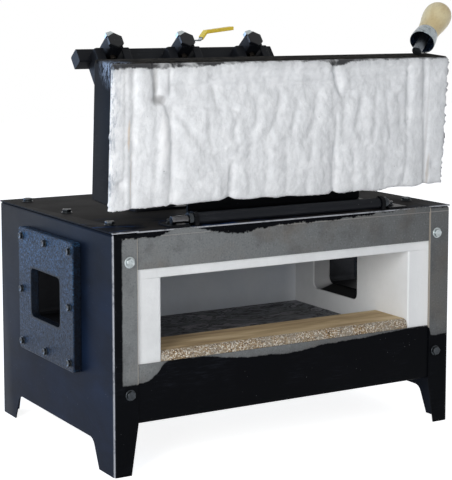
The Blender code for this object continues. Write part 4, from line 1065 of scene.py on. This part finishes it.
class FORGE_OT_gas_train(bpy.types.Operator):
    """Finish the burners, the gas rail, its blocks and the valve"""
    bl_idname = "forge.gas_train"
    bl_label = "Burners, gas rail and valve"

    def execute(self, context):
        for number in "123":
            work_copies((
                ("burner_tube_" + number, 0.6, "frame_body", "gas_paint", "black_paint"),
                ("burner_collar_" + number, 0.5, "frame_body", "gas_paint", "black_paint"),
                ("jet_block_" + number, 0.5, "frame_body", "gas_paint", "black_paint"),
                ("block_cap_" + number, 0.6, "frame_body", "cap_paint", "black_paint"),
                ("block_plug_" + number, 0.3, "frame_body", "zinc", "zinc_plate"),
                ("jet_" + number, 0.2, "frame_body", "jet_brass", "brass")))
        work_copies((
            ("manifold_tube", 0.5, "frame_body", "gas_paint", "black_paint"),
            ("inlet_nipple", 0, "frame_body", "zinc", "zinc_plate"),
            ("valve_body packing_nut inlet_fitting", 0.3, "frame_body", "brass", "brass"),
            ("valve_ball", 0, "valve_lever", "steel", "bare_steel"),
            ("valve_stem", 0.3, "valve_lever", "brass", "brass"),
            ("valve_lever", 0.3, "valve_lever", "zinc", "bare_steel"),
            ("lever_sleeve", 1.2, "valve_lever", "vinyl", "yellow_vinyl"),
            ("lever_nut", 0.3, "valve_lever", "zinc", "bare_steel")))
        coat("front_valve_seat rear_valve_seat", "seat")
        return {"FINISHED"}


class FORGE_OT_hinge(bpy.types.Operator):
    """Finish the door's hinge"""
    bl_idname = "forge.hinge"
    bl_label = "Hinge"

    def execute(self, context):
        work_copies((
            ("hinge_pipe", 0.4, "door", "gas_paint", "black_paint"),
            ("hinge_rod", 0.6, "frame_body", "rod_steel", "bare_steel")))
        for side in ("left", "right"):
            work_copies((
                (side + "_hinge_bracket", 0.4, "frame_body", "paint", "black_paint"),
                (side + "_hinge_collar", 0.4, "frame_body", "bolt", "zinc_plate")))
        return {"FINISHED"}


class FORGE_OT_handle(bpy.types.Operator):
    """Finish the door's handle"""
    bl_idname = "forge.handle"
    bl_label = "Handle"

    def execute(self, context):
        work_copies((
            ("handle_rod", 0.6, "door", "handle_steel", "bare_steel"),
            ("handle_ferrule", 0.4, "door", "ferrule", "zinc_plate"),
            ("handle_grip", 0, "door", "wood", "birch")))
        return {"FINISHED"}


class FORGE_OT_bolts(bpy.types.Operator):
    """Add the bolts of the case and the ports"""
    bl_idname = "forge.bolts"
    bl_label = "Bolts"

    def execute(self, context):
        case_bolts()
        port_bolts()
        return {"FINISHED"}


class FORGE_OT_blanket(bpy.types.Operator):
    """Add the door's soft blanket"""
    bl_idname = "forge.blanket"
    bl_label = "Soft blanket"

    def execute(self, context):
        soft_blanket(context)
        return {"FINISHED"}


def seen_directly(nodes):
    """One for camera, glossy and transmission rays, which show the white background."""
    path = nodes.add("LightPath").outputs
    both = nodes.maths("MAXIMUM", path["Is Camera Ray"], path["Is Glossy Ray"])
    return nodes.maths("MAXIMUM", both, path["Is Transmission Ray"])


def area_light(name, place, target, size, power, colour):
    light = bpy.data.lights.new(name, "AREA")
    light.shape = "RECTANGLE"
    light.size, light.size_y = size
    light.energy = power
    light.color = colour
    lamp = bpy.data.objects.new(name, light)
    bpy.context.collection.objects.link(lamp)
    lamp.location = place
    lamp.rotation_euler = (Vector(target) - Vector(place)).to_track_quat("-Z", "Y").to_euler()
    lamp.visible_camera = False


def add_floor():
    """A wide pale floor that shows white to the camera and keeps the object's shadow."""
    deselect_all()
    bpy.ops.mesh.primitive_plane_add(size=12, location=(0, 0, -0.2 * MM))
    floor = bpy.context.object
    floor.name = "floor"
    bpy.ops.object.transform_apply(location=True)
    f = Finish("pale studio floor")
    f.wire(Base_Color=f.mix(f.cloudy(f.place, 3, 3), (0.9, 0.9, 0.9), (0.94, 0.94, 0.94)), Roughness=0.9,
           Specular_IOR_Level=0.1)
    glow = f.add("Emission", {"Color": (1, 1, 1, 1), "Strength": f.times(seen_directly(f), 0.85)}).outputs[0]
    shown = f.add("AddShader", {0: f.shader.outputs[0], 1: glow}).outputs[0]
    f.fill(f.tree.nodes["Material Output"], {"Surface": shown})
    floor.data.materials.append(f.material)


def set_world(scene):
    """Soft light all round, cooler from the left, in front of a white background."""
    world = scene.world or bpy.data.worlds.new("studio")
    scene.world = world
    world.use_nodes = True
    world.node_tree.nodes.clear()
    nodes = Nodes(world.node_tree)
    x = nodes.split(nodes.add("TexCoord").outputs["Generated"])["X"]
    tint = nodes.mix(nodes.graded(x, 0.3, -0.9), (0.98, 0.98, 1.0), (0.62, 0.78, 1.0))
    studio = nodes.add("Background", {"Color": tint, "Strength": scene.forge_looks.world_level}).outputs[0]
    white = nodes.add("Background", {"Color": (1, 1, 1, 1), "Strength": 1.0}).outputs[0]
    shown = nodes.add("MixShader", {0: seen_directly(nodes), 1: studio, 2: white}).outputs[0]
    nodes.add("OutputWorld", {"Surface": shown})


# The camera, as fitted to the photograph: the frame's height, the focal length and the optical centre's row
# in pixels, and where it stands from the case's left front corner.
FRAME_HEIGHT = 480
FOCAL_LENGTH, OPTICAL_ROW = 1481.8, 170
CAMERA_OFFSET = (-0.9222, -1.8792)
CAMERA_HEIGHT = 0.6812
CAMERA_DIP, CAMERA_TURN = radians(6.30), radians(30.56)


def add_camera(scene):
    data = bpy.data.cameras.new("camera")
    camera = bpy.data.objects.new("camera", data)
    bpy.context.collection.objects.link(camera)
    data.sensor_width = 36
    data.lens = FOCAL_LENGTH / FRAME_HEIGHT * data.sensor_width
    data.shift_y = -(FRAME_HEIGHT / 2 - OPTICAL_ROW) / FRAME_HEIGHT
    camera.location = (LEFT_FACE + CAMERA_OFFSET[0], FRONT_FACE + CAMERA_OFFSET[1], CAMERA_HEIGHT)
    camera.rotation_euler = (radians(90) - CAMERA_DIP, 0, -CAMERA_TURN)
    scene.camera = camera


class FORGE_OT_stage(bpy.types.Operator):
    """Set the floor, lights, world and camera"""
    bl_idname = "forge.stage"
    bl_label = "Stage"

    def execute(self, context):
        looks = context.scene.forge_looks
        add_floor()
        set_world(context.scene)
        area_light("left window", (-2.0, -1.5, 1.0), (0.1, -0.2, 0.35), (0.9, 1.1), looks.key_power,
                   (1.0, 0.99, 0.97))
        area_light("front fill", (-1.3, -2.9, 0.6), (0.1, 0, 0.25), (1.6, 0.9), looks.fill_power,
                   (1.0, 0.99, 0.98))
        area_light("left rear window", (-1.7, 1.9, 0.6), (-0.3, 0, 0.25), (1.5, 1.1), looks.side_power,
                   (0.35, 0.58, 1.0))
        add_camera(context.scene)
        context.scene.view_settings.view_transform = "Standard"
        return {"FINISHED"}


def colour_property(name, description, default):
    return FloatVectorProperty(name=name, description=description, subtype="COLOR", default=default,
                               min=0, max=1)


def power_property(name, description, default):
    return FloatProperty(name=name, description=description, subtype="POWER", unit="POWER", default=default,
                         min=0)


class ForgeLooks(bpy.types.PropertyGroup):
    """Colours, sizes and light levels a user would change."""
    paint_colour: colour_property("Paint", "Colour of the black paint", (0.003, 0.0034, 0.0044))
    paint_gloss: FloatProperty(name="Paint gloss", description="How strongly the case's paint mirrors",
                               subtype="FACTOR", default=0.018, min=0, max=1)
    steel_colour: colour_property("Bare steel", "Colour of the steel bared by heat", (0.185, 0.194, 0.197))
    hammer_colour: colour_property("Hammered paint", "Colour of the port plates", (0.006, 0.018, 0.038))
    lining_colour: colour_property("Lining", "Colour of the hardened lining", (0.85, 0.86, 0.86))
    blanket_colour: colour_property("Blanket", "Colour of the soft blanket", (0.87, 0.88, 0.89))
    blanket_swell: FloatProperty(name="Blanket swell", description="How far the soft blanket may swell",
                                 subtype="DISTANCE", unit="LENGTH", default=6.5 * MM, min=0.1 * MM,
                                 precision=4)
    sill_colour: colour_property("Sill", "Colour of the castable sill", (0.58, 0.43, 0.25))
    soot_colour: colour_property("Soot", "Lighter tone of the sooty hearth", (0.2, 0.205, 0.22))
    wood_colour: colour_property("Wood", "Colour of the grip", (0.86, 0.73, 0.43))
    sleeve_colour: colour_property("Lever sleeve", "Colour of the lever's sleeve", (1.0, 0.73, 0.07))
    world_level: FloatProperty(name="World level", description="Strength of the soft light all round",
                               default=0.33, min=0, max=4)
    key_power: power_property("Key light", "Power of the large light at the left", 29)
    fill_power: power_property("Fill light", "Power of the low light in front", 14)
    side_power: power_property("Side light", "Power of the cool light from the left rear", 22)


STEPS = (FORGE_OT_case, FORGE_OT_lining, FORGE_OT_ports, FORGE_OT_gas_train, FORGE_OT_hinge, FORGE_OT_handle,
         FORGE_OT_bolts, FORGE_OT_blanket, FORGE_OT_stage)


class FORGE_PT_panel(bpy.types.Panel):
    """The forge's steps and its looks"""
    bl_idname = "FORGE_PT_panel"
    bl_label = "Gas forge"
    bl_space_type = "VIEW_3D"
    bl_region_type = "UI"
    bl_category = "Forge"

    def draw(self, context):
        looks = context.scene.forge_looks
        for name in ForgeLooks.__annotations__:
            self.layout.prop(looks, name)
        for step in STEPS:
            self.layout.operator(step.bl_idname)


CLASSES = (ForgeLooks, *STEPS, FORGE_PT_panel)


def register():
    for item in CLASSES:
        bpy.utils.register_class(item)
    bpy.types.Scene.forge_looks = PointerProperty(type=ForgeLooks)


def unregister():
    del bpy.types.Scene.forge_looks
    for item in reversed(CLASSES):
        bpy.utils.unregister_class(item)


def main():
    register()
    for step in STEPS:
        group, name = step.bl_idname.split(".")
        getattr(getattr(bpy.ops, group), name)()


if __name__ == "__main__":
    main()
